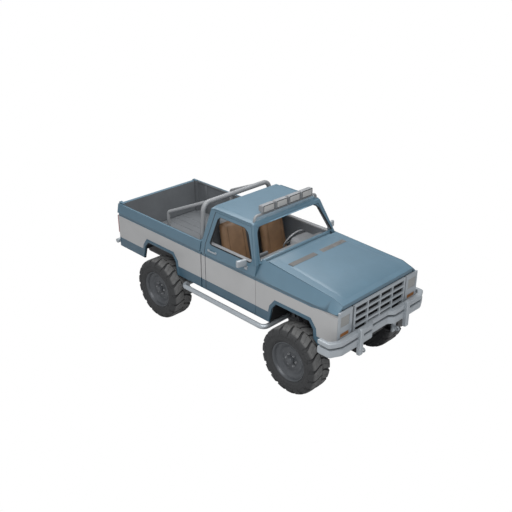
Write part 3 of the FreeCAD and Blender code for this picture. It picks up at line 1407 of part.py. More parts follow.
def make_door_fittings():
    """A mirror on its stem and a pull handle on each door."""
    for label, side in (("door_fittings_left", 1), ("door_fittings_right", -1)):
        x = number(f"({DOOR_FRONT} - mirror_ahead)")
        skin = number("crease_half")
        foot_z = number("mirror_z - mirror_height")
        head_y = number("mirror_half")
        head = Part.makeBox(number("mirror_depth"), number("mirror_width / 2"), number("mirror_height"),
                            Vector(x - number("mirror_depth") / 2, head_y - number("mirror_width") / 4,
                                   number("mirror_z - mirror_height / 2")))
        stem = rod_solid(Vector(x, number("body_half - skin_wall"), foot_z), Vector(x, head_y, number("mirror_z")),
                         number("stem_radius"))
        door = doc.getObject("door_left").Shape
        mirror_solid = head.fuse(stem).cut(door)
        handle_y = number("(belt_half + crease_half) / 2")
        handle = Part.makeBox(number("handle_length"), number("handle_depth"), number("handle_height"),
                              Vector(number(f"({DOOR_REAR} + rear_frame_width)"), handle_y, number("handle_z")))
        solids = [mirror_solid, handle.cut(door)]
        keep(group_from(label, solids if side > 0 else [flipped(solid) for solid in solids]))


def make_seats():
    """Two high-backed bucket seats, each one padded solid, on steel boxes on the floor."""
    pads = []
    bases = []
    x = number(f"({CAB_BACK} + frame_wall + seat_room)")
    for side in (1, -1):
        y = side * number("seat_half")
        width = number("seat_width")
        length = number("cushion_length")
        top = number("seat_top_z")
        height = number("cushion_height")
        cushion = Part.makeBox(length, width, height, Vector(x, y - width / 2, top - height))
        wall = number("back_wall")
        lean = math.radians(number("seat_lean_angle"))
        back_low = top - height
        rise = number("back_height") + height
        shift = -math.tan(lean) * rise
        loop = [Vector(x, 0, back_low), Vector(x + wall, 0, back_low), Vector(x + wall + shift, 0, back_low + rise),
                Vector(x + wall / 2 + shift, 0, back_low + rise), Vector(x, 0, back_low)]
        back = Part.Face(Part.makePolygon(loop)).extrude(Vector(0, width, 0))
        back.translate(Vector(0, y - width / 2, 0))
        pads.append(cushion.fuse(back).removeSplitter())
        floor = number("cab_floor_z + floor_wall")
        inset = number("seat_gap")
        bases.append(Part.makeBox(length - 4 * inset, width - 4 * inset, back_low - floor,
                                  Vector(x + 2 * inset, y - width / 2 + 2 * inset, floor)))
    keep(group_from("seats", pads))
    keep(group_from("seat_bases", bases))


def make_dash():
    """The dashboard across the cab, with a hood over the instruments on the driver's side."""
    body = new_body("dashboard")
    half = f"({INNER_HALF} - dash_gap)"
    front = f"({DOOR_FRONT} - skin_wall)"
    rear = f"({front} - dash_depth)"
    outline = [
        (front, "dash_low_z"),
        (front, "dash_top_z"),
        (f"({rear} + dash_depth / 2)", "dash_top_z"),
        (rear, "(dash_top_z - dash_depth / 4)"),
        (rear, "(dash_low_z + dash_depth / 4)"),
        (f"({rear} + dash_depth / 3)", "dash_low_z"),
    ]
    pad(body, "y", outline, neg(half), f"(2 * {half})")
    keep(body)


def make_steering():
    """The steering column from the dashboard and the wheel on its end."""
    angle = math.radians(number("column_angle"))
    x = number(f"({DOOR_FRONT} - wheel_behind)")
    centre = Vector(x, number("wheel_half"), number("wheel_centre_z"))
    axis = Vector(-math.cos(angle), 0, math.sin(angle))
    ring = Part.makeTorus(number("wheel_ring_radius"), number("wheel_ring_tube"), centre, axis)
    hub = Part.makeCylinder(number("column_radius"), number("wheel_ring_tube"), centre, axis)
    spokes = []
    side = Vector(0, 1, 0)
    down = axis.cross(side)
    for direction in (side, side * -1, down):
        spokes.append(rod_solid(centre, centre + direction * number("wheel_ring_radius"), number("spoke_radius")))
    keep(feature_from("steering_wheel", [ring, hub] + spokes))
    start = centre - axis * (number("spoke_radius") + number("running_gap"))
    column = rod_solid(start, start - axis * number("column_length"), number("column_radius"))
    keep(feature_from("steering_column", [column.cut(doc.getObject("dashboard").Shape)]))


def check_parts():
    """Stops before anything is written if an object failed or a sub-part isn't sound."""
    for item in doc.Objects:
        if "Invalid" in item.State or "Error" in item.State:
            raise RuntimeError(f"{item.Name} failed: {item.State}")
    for item in parts:
        if item.Shape.isNull() or not item.Shape.isValid() or not item.Shape.Solids:
            raise RuntimeError(f"{item.Label} has no sound shape")


def build():
    make_cab()
    for make in (make_fenders, make_inner_fenders, make_hood, make_nose, make_grille, make_front_bumper, make_bed,
                 make_tailgate, make_tail_lamps, make_frame, make_dash):
        make()
    for end, axle in (("front", FRONT_AXLE), ("rear", REAR_AXLE)):
        for name, side in (("left", 1), ("right", -1)):
            make_tyre(f"tyre_{end}_{name}", axle, side)
            make_rim(f"rim_{end}_{name}", axle, side)
    doc.recompute()
    for make in (make_front_axle, make_rear_axle, make_tie_rod, make_springs, make_shocks, make_power, make_exhaust,
                 make_tank, make_glass, make_rear_bumper, make_step_bars, make_roll_bar, make_light_bar,
                 make_door_fittings, make_seats, make_steering):
        make()
    make_knuckle("knuckle_left", 1)
    make_knuckle("knuckle_right", -1)
    doc.recompute()
    check_parts()


build()
os.makedirs("parts", exist_ok=True)
for sub_part in parts:
    sub_part.Shape.exportStep(os.path.join("parts", f"{sub_part.Label}.step"))
print(len(parts), "sub-parts written")
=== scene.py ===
"""Looks for the lifted pickup truck: paint, metal, rubber, glass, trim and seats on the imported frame."""
import json
import math

import bmesh
import bpy
from mathutils import Matrix, Vector
from mathutils.bvhtree import BVHTree
from mathutils.kdtree import KDTree

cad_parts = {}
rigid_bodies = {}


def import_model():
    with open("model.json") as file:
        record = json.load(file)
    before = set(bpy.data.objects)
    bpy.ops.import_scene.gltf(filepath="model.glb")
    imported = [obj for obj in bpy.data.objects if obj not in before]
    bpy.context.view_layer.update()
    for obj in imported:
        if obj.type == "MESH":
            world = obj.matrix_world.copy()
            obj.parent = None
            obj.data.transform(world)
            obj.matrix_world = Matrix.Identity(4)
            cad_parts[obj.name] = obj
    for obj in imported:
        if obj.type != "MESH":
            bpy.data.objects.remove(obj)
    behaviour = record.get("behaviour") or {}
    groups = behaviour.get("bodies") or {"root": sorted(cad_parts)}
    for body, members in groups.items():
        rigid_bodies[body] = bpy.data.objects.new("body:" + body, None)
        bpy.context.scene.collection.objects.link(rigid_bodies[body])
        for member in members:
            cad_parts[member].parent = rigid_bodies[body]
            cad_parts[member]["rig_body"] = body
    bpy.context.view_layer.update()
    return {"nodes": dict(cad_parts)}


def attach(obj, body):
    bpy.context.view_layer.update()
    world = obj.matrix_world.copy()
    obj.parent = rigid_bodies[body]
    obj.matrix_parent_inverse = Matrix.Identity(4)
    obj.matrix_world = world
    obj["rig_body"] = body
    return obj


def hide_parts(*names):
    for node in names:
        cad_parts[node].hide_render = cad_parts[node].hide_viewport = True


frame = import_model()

nodes = frame["nodes"]
scene = bpy.context.scene
SIDES = {"left": 1, "right": -1}

# Colours are linear.
BLUE = (0.074, 0.138, 0.186)
BLUE_LOW = (0.032, 0.082, 0.122)
WHITE = (0.36, 0.36, 0.36)
BRIGHT = (0.365, 0.395, 0.420)
BAR_GREY = (0.215, 0.222, 0.230)
BED_GREY = (0.120, 0.128, 0.136)
FRAME_BLACK = (0.022, 0.023, 0.025)
LINER_BLACK = (0.014, 0.015, 0.017)
CAST_GREY = (0.055, 0.057, 0.060)
STEEL_GREY = (0.085, 0.085, 0.090)
TYRE_DARK = (0.0240, 0.0248, 0.0262)
# Dust and a painted highlight on the tread's outer faces.
TYRE_DUST_AND_LIGHT = (0.112, 0.112, 0.111)
WHEEL_GREY = (0.072, 0.077, 0.084)
DASH_GREY = (0.150, 0.155, 0.162)
NUT_GREY = (0.190, 0.196, 0.204)
TRIM_GREY = (0.225, 0.232, 0.242)
DARK_TRIM = (0.105, 0.115, 0.127)
VENT_GREY = (0.155, 0.150, 0.145)
SEAT_BROWN = (0.200, 0.118, 0.064)
# SEAT_DARK is the piping's own colour and also the painted shade in the seat vinyl's folds.
SEAT_DARK = (0.095, 0.055, 0.030)
LENS_GREY = (0.235, 0.235, 0.225)
LAMP_FACE = (0.360, 0.355, 0.345)
AMBER = (0.25, 0.088, 0.008)
RED = (0.27, 0.030, 0.028)
MIRROR_GREY = (0.45, 0.47, 0.49)
GLASS_TINT = (0.94, 0.96, 0.96)
DIAL_WHITE = (0.55, 0.55, 0.52)
FLOOR_GREY = (0.60, 0.60, 0.60)
BLACK_MASK = (0, 0, 0)
WHITE_MASK = (1, 1, 1)

# The white band on the body's sides, in metres; its edges climb by a slope past the rear, front and rise.
BAND_LOW = 1.040
BAND_HIGH = 1.447
BAND_MIDDLE = 1.20
BAND_HALF = 0.855
BAND_OUTER = 0.8875
BAND_REAR = -2.452
BAND_FRONT = 2.245
BAND_RISE_FROM = 1.95
REAR_SLOPE = 0.45
FRONT_SLOPE = 0.30
RISE_SLOPE = 0.10
# The radii between which dust and a painted highlight fade in on the tread's outer faces; below them the
# rubber stays dark, which also paints shade into the grooves.
DUST_AND_LIGHT_FROM = 0.488
DUST_AND_LIGHT_TO = 0.506


def solid(color):
    """A colour with full alpha; a link passes as it is."""
    return (*color, 1) if isinstance(color, tuple) else color


def join(tree, socket, value):
    """Links a value to a socket, or sets it there where it is plain."""
    if isinstance(value, bpy.types.NodeSocket):
        tree.links.new(value, socket)
    else:
        socket.default_value = value


def seen_instead(tree, lit, shown, output):
    """Sends one shader to the camera and through glass, and the other to all other rays."""
    path = tree.nodes.new("ShaderNodeLightPath")
    seen = tree.nodes.new("ShaderNodeMath")
    seen.operation = "MAXIMUM"
    tree.links.new(path.outputs["Is Camera Ray"], seen.inputs[0])
    tree.links.new(path.outputs["Is Transmission Ray"], seen.inputs[1])
    mix = tree.nodes.new("ShaderNodeMixShader")
    for index, source in enumerate((seen, lit, shown)):
        tree.links.new(source.outputs[0], mix.inputs[index])
    tree.links.new(mix.outputs[0], tree.nodes[output].inputs["Surface"])


class Look:
    """A principled material and the nodes that feed it."""

    def __init__(self, name, color, roughness, metallic=0.0, coat=0.0):
        self.material = bpy.data.materials.new(name)
        self.material.use_nodes = True
        self.material.diffuse_color = solid(color)
        self.tree = self.material.node_tree
        self.shader = self.tree.nodes["Principled BSDF"]
        self.set("Base Color", solid(color))
        self.set("Roughness", roughness)
        self.set("Metallic", metallic)
        self.set("Coat Weight", coat)

    def set(self, socket, value):
        """Sets or links one of the shader's own sockets."""
        join(self.tree, self.shader.inputs[socket], value)

    def add(self, kind, inputs=None, **settings):
        """A node with its settings; an input is a plain value or another node's output."""
        item = self.tree.nodes.new(kind)
        for name, value in settings.items():
            setattr(item, name, value)
        for socket, value in (inputs or {}).items():
            join(self.tree, item.inputs[socket], value)
        return item

    def place(self):
        """The object's own place, in metres."""
        return self.add("ShaderNodeTexCoord").outputs["Object"]

    def axes(self):
        """That place as three values."""
        return self.add("ShaderNodeSeparateXYZ", {0: self.place()}).outputs

    def noise(self, scale, detail=3.0):
        """Noise in the object's own metres; scale is in features per metre."""
        inputs = {"Scale": scale, "Detail": detail, "Vector": self.place()}
        return self.add("ShaderNodeTexNoise", inputs).outputs["Fac"]

    def ramp(self, source, *stops):
        """A colour ramp over a value, between two pairs of place and colour."""
        item = self.add("ShaderNodeValToRGB", {"Fac": source})
        for element, (position, color) in zip(item.color_ramp.elements, stops):
            element.position = position
            element.color = solid(color)
        return item.outputs["Color"]

    def mottle(self, source, color, share):
        """The colour a little darker and lighter by a value."""
        low = tuple(c * (1 - share) for c in color)
        high = tuple(c * (1 + share) for c in color)
        return self.ramp(source, (0.3, low), (0.7, high))

    def spread(self, source, low, high, start=0.0, stop=1.0):
        """Maps a value between start and stop onto a range."""
        inputs = {"Value": source, "From Min": start, "From Max": stop, "To Min": low, "To Max": high}
        return self.add("ShaderNodeMapRange", inputs).outputs["Result"]

    def maths(self, operation, *values):
        """The outcome of a calculation."""
        return self.add("ShaderNodeMath", dict(enumerate(values)), operation=operation).outputs[0]

    def mix(self, factor, first, second):
        """A colour between two, by a factor."""
        inputs = {0: factor, 6: solid(first), 7: solid(second)}
        return self.add("ShaderNodeMix", inputs, data_type="RGBA").outputs[2]

    def bump(self, source, strength, distance):
        """Raises the surface by a value, for light alone."""
        item = self.add("ShaderNodeBump", {"Strength": strength, "Distance": distance, "Height": source})
        self.set("Normal", item.outputs["Normal"])

    def finish(self, color, roughness, mottling, wear, grain):
        """Mottling is (scale, detail, share), wear is (scale, detail, less, more) and grain is
        (scale, detail, strength, depth)."""
        scale, detail, share = mottling
        self.set("Base Color", self.mottle(self.noise(scale, detail), color, share))
        if wear:
            scale, detail, less, more = wear
            self.set("Roughness", self.spread(self.noise(scale, detail), roughness - less, roughness + more))
        scale, detail, strength, depth = grain
        self.bump(self.noise(scale, detail), strength, depth)
        return self.material


def paint_look(name, color, share=0.04, roughness=0.42, coat=0.25):
    """Solid paint: faint mottling, roughness that varies like road dust, and a fine ripple."""
    look = Look(name, color, roughness, 0.0, coat)
    look.set("Coat Roughness", 0.25)
    wear = (9.0, 6.0, 0.08, 0.08)
    look.finish(color, roughness, (3.0, 3.0, share), wear, (260.0, 2.0, 0.04, 0.0004))
    return look


def paint_material(*values):
    """The material of a solid paint."""
    return paint_look(*values).material


def two_tone_material():
    """Blue paint with the white band along the sides, placed by the truck's own measures."""
    look = paint_look("two_tone_paint", BLUE)
    maths = look.maths

    def climb(first, second, slope):
        """How far an edge climbs where the first value is past the second."""
        return maths("MULTIPLY", maths("MAXIMUM", maths("SUBTRACT", first, second), 0.0), slope)

    x, y, z = look.axes()
    out = maths("ABSOLUTE", y)
    side = maths("MULTIPLY", maths("GREATER_THAN", out, BAND_HALF), maths("LESS_THAN", out, BAND_OUTER))
    low = maths("ADD", BAND_LOW, climb(x, BAND_FRONT, FRONT_SLOPE))
    low = maths("ADD", low, climb(BAND_REAR, x, REAR_SLOPE))
    high = maths("ADD", BAND_HIGH, climb(x, BAND_RISE_FROM, RISE_SLOPE))
    band = maths("MULTIPLY", side, maths("GREATER_THAN", z, low))
    band = maths("MULTIPLY", band, maths("LESS_THAN", z, high))
    low_side = maths("MULTIPLY", side, maths("LESS_THAN", z, BAND_MIDDLE))
    cloud = look.noise(3.0)
    blue, blue_low = (look.mottle(cloud, color, 0.04) for color in (BLUE, BLUE_LOW))
    blue = look.mix(low_side, blue, blue_low)
    look.set("Base Color", look.mix(band, blue, look.mottle(cloud, WHITE, 0.02)))
    return look.material


def bright_material():
    """Worn chrome plate: a soft reflection with faint haze."""
    roughness = 0.42
    look = Look("worn_chrome", BRIGHT, roughness, 0.45)
    wear = (14.0, 5.0, 0.08, 0.08)
    return look.finish(BRIGHT, roughness, (5.0, 3.0, 0.03), wear, (320.0, 2.0, 0.03, 0.0003))


def metal_material(name, color, roughness, metallic, grain=90.0):
    """Plain or painted steel with a fine grain."""
    look = Look(name, color, roughness, metallic)
    wear = (20.0, 5.0, 0.08, 0.10)
    return look.finish(color, roughness, (6.0, 5.0, 0.10), wear, (grain, 4.0, 0.10, 0.0008))


def plastic_material(name, color, roughness, grain=420.0, strength=0.12):
    """Moulded plastic with a pebbled skin."""
    look = Look(name, color, roughness)
    return look.finish(color, roughness, (8.0, 3.0, 0.06), None, (grain, 2.0, strength, 0.0006))


def tyre_material():
    """Tread rubber about the wheel's own middle: grey with dust and a painted highlight on the blocks' outer
    faces, dark below them, which also paints shade into the grooves.
    """
    look = Look("tread_rubber", TYRE_DARK, 0.78)
    maths = look.maths
    x, _, z = look.axes()
    radius = maths("SQRT", maths("ADD", maths("MULTIPLY", x, x), maths("MULTIPLY", z, z)))
    # Painted light: the blocks' outer faces are lighter than the grooves, partly dust and partly a painted
    # highlight.
    face = look.spread(radius, 0.0, 1.0, DUST_AND_LIGHT_FROM, DUST_AND_LIGHT_TO)
    dust = look.spread(look.noise(14.0, 6.0), 0.60, 1.10)
    amount = maths("MINIMUM", maths("ADD", maths("MULTIPLY", face, dust), 0.06), 1.0)
    look.set("Base Color", look.mix(amount, TYRE_DARK, TYRE_DUST_AND_LIGHT))
    look.set("Roughness", look.spread(look.noise(22.0, 5.0), 0.68, 0.90))
    look.bump(look.noise(180.0, 5.0), 0.20, 0.0012)
    return look.material


def glass_material():
    """Clear window glass that light passes straight through."""
    look = Look("window_glass", GLASS_TINT, 0.02)
    look.set("Transmission Weight", 1.0)
    look.set("IOR", 1.01)
    look.set("Alpha", 0.06)
    look.set("Roughness", look.spread(look.noise(4.0, 4.0), 0.01, 0.05))
    look.material.blend_method = "BLEND"
    return look.material


def lens_material(name, color, roughness=0.30, ribs=55.0):
    """A moulded lens with fine flutes."""
    look = Look(name, color, roughness, 0.0, 0.3)
    inputs = {"Scale": ribs, "Vector": look.place()}
    wave = look.add("ShaderNodeTexWave", inputs, bands_direction="Y").outputs["Fac"]
    look.bump(wave, 0.30, 0.0012)
    look.set("Base Color", look.mottle(wave, color, 0.08))
    return look.material


def vinyl_material(name, color, dark):
    """Seat vinyl: a pebbled grain, with painted shade darkening the folds."""
    look = Look(name, color, 0.55)
    cells = look.add("ShaderNodeTexVoronoi", {"Scale": 380.0, "Vector": look.place()})
    # Painted shade: hollows, found by low pointiness, take the dark colour.
    pointed = look.add("ShaderNodeNewGeometry").outputs["Pointiness"]
    fold = look.ramp(pointed, (0.44, BLACK_MASK), (0.50, WHITE_MASK))
    look.set("Base Color", look.mix(fold, dark, look.mottle(look.noise(7.0, 5.0), color, 0.12)))
    look.set("Roughness", look.spread(look.noise(30.0, 3.0), 0.45, 0.65))
    look.bump(cells.outputs["Distance"], 0.22, 0.0010)
    return look.material


def floor_material():
    """A pale floor that the camera sees as white."""
    look = Look("floor", FLOOR_GREY, 0.9)
    look.set("Base Color", look.mottle(look.noise(0.6, 2.0), FLOOR_GREY, 0.01))
    seen_instead(look.tree, look.shader, look.add("ShaderNodeEmission"), "Material Output")
    return look.material


TWO_TONE = two_tone_material()
BLUE_PAINT = paint_material("blue_paint", BLUE)
LOW_PAINT = paint_material("low_paint", BLUE_LOW)
CHROME = bright_material()
BAR_PAINT = paint_material("bar_paint", BAR_GREY, 0.08, 0.48, 0.1)
BED_PAINT = paint_material("bed_paint", BED_GREY, 0.08, 0.62, 0.0)
FRAME_PAINT = metal_material("frame_paint", FRAME_BLACK, 0.55, 0.1)
LINER = plastic_material("liner_plastic", LINER_BLACK, 0.70)
CASTING = metal_material("rough_casting", CAST_GREY, 0.60, 0.4, 140.0)
STEEL = metal_material("plain_steel", STEEL_GREY, 0.45, 0.6)
RUBBER = tyre_material()
SEAL = plastic_material("rubber_seal", LINER_BLACK, 0.65, 600.0, 0.05)
WHEEL_PAINT = metal_material("wheel_paint", WHEEL_GREY, 0.42, 0.25)
NUT_METAL = metal_material("nut_metal", NUT_GREY, 0.40, 0.25, 300.0)
GLASS = glass_material()
CLEAR_LENS = lens_material("clear_lens", LENS_GREY)
FACE_LENS = lens_material("lamp_face", LAMP_FACE, 0.35, 40.0)
AMBER_LENS = lens_material("amber_lens", AMBER)
RED_LENS = lens_material("red_lens", RED)
LAMP_CASE = plastic_material("lamp_case", BAR_GREY, 0.50)
TRIM = plastic_material("grey_trim", TRIM_GREY, 0.58)
DASH_PLASTIC = plastic_material("dash_plastic", DASH_GREY, 0.60)
DARK_PLASTIC = plastic_material("dark_trim", DARK_TRIM, 0.55)
VENT_PLASTIC = plastic_material("vent_plastic", VENT_GREY, 0.60)
VINYL = vinyl_material("seat_vinyl", SEAT_BROWN, SEAT_DARK)
PIPING = vinyl_material("seat_piping", SEAT_DARK, SEAT_DARK)
MIRROR_GLASS = metal_material("mirror_glass", MIRROR_GREY, 0.12, 0.95, 4.0)
DIAL = plastic_material("dial_marks", DIAL_WHITE, 0.50)

NODE_MATERIALS = {name: material for material, names in (
    (TWO_TONE, "cab_shell door_left door_right fenders hood_panel bed tailgate"),
    (CHROME, "step_bars door_fittings_left door_fittings_right front_bumper rear_bumper grille lamp_bezels"),
    (BAR_PAINT, "light_bar roll_hoop roll_stays"),
    (FRAME_PAINT, "frame front_axle rear_axle fuel_tank seat_bases"),
    (STEEL, "tie_rod driveshafts leaf_springs shock_absorbers exhaust"),
    (CASTING, "knuckle_left knuckle_right engine_block transmission"),
    (LINER, "inner_fenders radiator_support"),
    (TRIM, "steering_wheel dashboard"),
    (DARK_PLASTIC, "steering_column"),
    (CLEAR_LENS, "headlamps"),
    (AMBER_LENS, "turn_lamps"),
    (RED_LENS, "tail_lamps"),
    (LAMP_CASE, "roof_lamps"),
    (GLASS, "cab_glass"),
    (VINYL, "seats"),
    (RUBBER, "tyre_front_left tyre_front_right tyre_rear_left tyre_rear_right"),
    (WHEEL_PAINT, "rim_front_left rim_front_right rim_rear_left rim_rear_right"),
) for name in names.split()}

# Places that the pieces share, in metres.
CAB_MIDDLE = Vector((0.30, 0.0, 1.50))
BED_INNER = 0.8405
BED_FLOOR = 1.075
BED_TOP = 1.655
SKIN_INNER = 0.883
BELT = 1.660
FRONT_AXLE = 1.680
REAR_AXLE = -1.290
HUB_HALF = 0.870
TYRE_RADIUS = 0.511


def dress_nodes():
    """Gives each carried-over node its material."""
    for name, material in NODE_MATERIALS.items():
        mesh = nodes[name].data
        mesh.materials.clear()
        mesh.materials.append(material)


def turns(count):
    """Angles once round, in even steps."""
    return [2 * math.pi * step / count for step in range(count)]


def quads(bm, rows, around=True, closed=False):
    """Faces between rows of vertices; around joins each row's ends, closed the last row to the first."""
    count = len(rows[0])
    for here, there in zip(rows, rows[1:] + rows[:1] if closed else rows[1:]):
        for index in range(count if around else count - 1):
            follower = (index + 1) % count
            bm.faces.new((here[index], here[follower], there[follower], there[index]))


def strip(bm, rails):
    """Adds a closed bar across rows of points; each row is one station of its section."""
    rows = [[bm.verts.new(point) for point in row] for row in rails]
    quads(bm, rows)
    bm.faces.new(list(reversed(rows[0])))
    bm.faces.new(rows[-1])


def ring(bm, rails, around=True):
    """Adds a skin across rows of points whose last row joins the first."""
    quads(bm, [[bm.verts.new(point) for point in row] for row in rails], around, closed=True)


def about_y(radius, turn, across):
    """A place by its radius and turn about the Y axis."""
    return Vector((radius * math.cos(turn), across, radius * math.sin(turn)))


def box_mesh(bm, low, high, round_width, segments=3):
    """Adds a block between two corners, with rounded edges; its vertices come back."""
    made = bmesh.ops.create_cube(bm, size=1.0)["verts"]
    middle = (Vector(low) + Vector(high)) / 2
    span = Vector(high) - Vector(low)
    for vert in made:
        vert.co = middle + vert.co * span
    edges = list({edge for vert in made for edge in vert.link_edges})
    done = bmesh.ops.bevel(bm, geom=edges, offset=round_width, segments=segments, profile=0.5, affect="EDGES",
                           clamp_overlap=True)
    return list({vert for face in done["faces"] for vert in face.verts})


def side_block(bm, side, low, high, round_width, segments=3):
    """Adds a block, given for the left, to a side."""
    flip = Vector((1, side, 1))
    box_mesh(bm, Vector(low) * flip, Vector(high) * flip, round_width, segments)


def both_sides(bm, low, high, round_width, segments=3):
    """Adds a block on the left and another across the truck from it."""
    for side in SIDES.values():
        side_block(bm, side, low, high, round_width, segments)


def tube_mesh(bm, points, radius, sides=12):
    """Adds a round bar along points, with closed ends."""
    places = [Vector(point) for point in points]
    rails = []
    up = Vector((0, 0, 1))
    for index, place in enumerate(places):
        along = (places[min(index + 1, len(places) - 1)] - places[max(index - 1, 0)]).normalized()
        if abs(along.z) > 0.95:
            up = Vector((0, 1, 0))
        across = along.cross(up).normalized()
        rise = across.cross(along).normalized()
        rails.append([place + (across * math.cos(turn) + rise * math.sin(turn)) * radius
                      for turn in turns(sides)])
    strip(bm, rails)


def curve_point(start, corner, stop, t):
    """A point on the curve that leaves a corner aside."""
    return start * (1 - t) ** 2 + corner * 2 * t * (1 - t) + stop * t * t


def softened(points, share=0.3, count=3):
    """A line of (u, v) points whose corners are rounded by small curves."""
    places = [Vector(point) for point in points]
    result = [tuple(places[0])]
    for before, corner, after in zip(places, places[1:], places[2:]):
        start = corner.lerp(before, share)
        stop = corner.lerp(after, share)
        result += [tuple(curve_point(start, corner, stop, step / count)) for step in range(count + 1)]
    result.append(tuple(places[-1]))
    return result


def revolved(bm, profile, steps, around=True):
    """Adds a profile of (radius, across) points turned about the Y axis."""
    ring(bm, [[about_y(radius, turn, across) for radius, across in profile] for turn in turns(steps)], around)


def to_side(bm, side):
    """Mirrors what a working mesh has so far, where it is for the right side."""
    for vert in bm.verts:
        vert.co.y *= side


def mesh_of(bm, name):
    """Turns a working mesh into a mesh whose faces all point outward."""
    bmesh.ops.recalc_face_normals(bm, faces=bm.faces)
    mesh = bpy.data.meshes.new(name)
    bm.to_mesh(mesh)
    bm.free()
    return mesh


def shade(mesh, degrees):
    """Shades a mesh smooth, apart from edges sharper than the angle."""
    mesh.polygons.foreach_set("use_smooth", [True] * len(mesh.polygons))
    mesh.set_sharp_from_angle(angle=math.radians(degrees))


def settle(item):
    """Applies a piece's modifiers to its mesh."""
    graph = bpy.context.evaluated_depsgraph_get()
    mesh = bpy.data.meshes.new_from_object(item.evaluated_get(graph))
    item.modifiers.clear()
    item.data = mesh


def even_shading(item):
    """Keeps large flats flat beside rounded edges."""
    item.modifiers.new("weighted", "WEIGHTED_NORMAL").keep_sharp = True
    settle(item)


def placed(name, mesh):
    """A new object in the scene."""
    item = bpy.data.objects.new(name, mesh)
    scene.collection.objects.link(item)
    return item


def new_piece(name, mesh, body, materials):
    """An object that rides on a CAD body, with the given materials."""
    for material in materials:
        mesh.materials.append(material)
    item = placed(name, mesh)
    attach(item, body)
    return item


def piece(bm, name, body, material, degrees=35):
    """A finished piece from a working mesh, smooth up to the angle; None leaves it flat."""
    mesh = mesh_of(bm, name)
    if degrees:
        shade(mesh, degrees)
    return new_piece(name, mesh, body, [material])


# How a rounding is told from a fold, as shares of its width and as a distance in metres.
ROUNDING_TRIES = 8
SPECK = 0.05
OFF_SURFACE = 0.9
ON_SURFACE = 0.0002
NEAR_FOLD = 3


def folded_places(trial, surface, width):
    """Corners of the faces that have left the plain surface or lie on it upside down."""
    places = []
    for face in trial.faces:
        if face.calc_area() < width * width * SPECK:
            continue
        middle = face.calc_center_median()
        spots = [middle] + [vert.co for vert in face.verts]
        normal, distance = surface.find_nearest(middle)[1::2]
        turned = distance < ON_SURFACE and normal.dot(face.normal) < -0.5
        if turned or any(surface.find_nearest(spot)[3] > width * OFF_SURFACE for spot in spots):
            places += [vert.co.copy() for vert in face.verts]
    return places


def round_edges(bm, width, degrees, segments):
    """A copy with its edges sharper than the angle rounded, apart from those that would fold over."""
    limit = math.radians(degrees)
    surface = BVHTree.FromBMesh(bm)
    bm.edges.ensure_lookup_table()
    chosen = {edge.index for edge in bm.edges if len(edge.link_faces) == 2 and edge.calc_face_angle(0) > limit
              and edge.calc_length() > 2 * width}
    for _ in range(ROUNDING_TRIES):
        trial = bm.copy()
        trial.edges.ensure_lookup_table()
        bmesh.ops.bevel(trial, geom=[trial.edges[index] for index in chosen], offset=width, segments=segments,
                        profile=0.6, affect="EDGES", clamp_overlap=False, loop_slide=False)
        trial.normal_update()
        folded = folded_places(trial, surface, width)
        if not folded:
            return trial
        trial.free()
        spots = KDTree(len(folded))
        for index, place in enumerate(folded):
            spots.insert(place, index)
        spots.balance()
        doomed = {index for index in chosen
                  if min(spots.find(vert.co)[2] for vert in bm.edges[index].verts) < NEAR_FOLD * width}
        if not doomed:
            break
        chosen -= doomed
    return bm.copy()


def refined(name, width, rules=None, materials=None, degrees=30, segments=2):
    """A copy of a CAD node with rounded edges, standing for it; rules give each face its material."""
    source = nodes[name]
    plain = bmesh.new()
    plain.from_mesh(source.data)
    bmesh.ops.remove_doubles(plain, verts=plain.verts, dist=0.00005)
    bmesh.ops.dissolve_limit(plain, angle_limit=math.radians(0.2), verts=plain.verts, edges=plain.edges)
    bmesh.ops.recalc_face_normals(plain, faces=plain.faces)
    bm = round_edges(plain, width, degrees, segments)
    plain.free()
    bm.normal_update()
    if rules:
        for face in bm.faces:
            face.material_index = rules(face.calc_center_median(), face.normal)
    mesh = bpy.data.meshes.new(f"{name}_dressed")
    bm.to_mesh(mesh)
    bm.free()
    shade(mesh, 35)
    materials = materials or [NODE_MATERIALS[name]]
    item = new_piece(f"{name}_dressed", mesh, source["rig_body"], materials)
    even_shading(item)
    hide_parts(name)


# The tyre, about its own middle: (radius, across) from the bead to the crown, on the outer half.
CARCASS = [(0.302, 0.148), (0.306, 0.160), (0.314, 0.172), (0.328, 0.181), (0.338, 0.185),
           (0.341, 0.1885), (0.350, 0.189), (0.353, 0.1865), (0.375, 0.1905), (0.400, 0.192),
           (0.415, 0.1915), (0.418, 0.1945), (0.426, 0.194), (0.429, 0.1895), (0.450, 0.181),
           (0.468, 0.167), (0.480, 0.146), (0.484, 0.110), (0.485, 0.040)]
# A tread block's stations: (across, top radius, foot radius, foot across).
BLOCK_STATIONS = [(0.005, 0.5095, 0.480, 0.005), (0.040, 0.511, 0.480, 0.040),
                  (0.080, 0.511, 0.480, 0.080), (0.120, 0.5095, 0.478, 0.118),
                  (0.148, 0.505, 0.472, 0.140), (0.168, 0.494, 0.460, 0.152),
                  (0.182, 0.477, 0.448, 0.162), (0.191, 0.456, 0.436, 0.172),
                  (0.1955, 0.434, 0.424, 0.182), (0.1965, 0.412, 0.408, 0.186)]
BLOCK_COUNT = 18
BLOCK_HALF = 0.074
BLOCK_FOOT_HALF = 0.056
BLOCK_LEAD = 0.034
BLOCK_SAMPLES = (-1.0, -0.55, -0.07, 0.0, 0.07, 0.55, 1.0)
BLOCK_FLARE = 0.003
BLOCK_ROUND = 0.0035
SIPE_DEPTH = 0.006
SIPE_REACH = (0.030, 0.155)
# A short rib on the tyre's wall, and how far a pair of them stand from a block's middle.
TYRE_RIB = ((0.400, 0.186, -0.008), (0.436, 0.1965, 0.008), 0.002, 2)
TYRE_RIB_RADIUS = 0.42
TYRE_RIB_SHIFT = 0.030


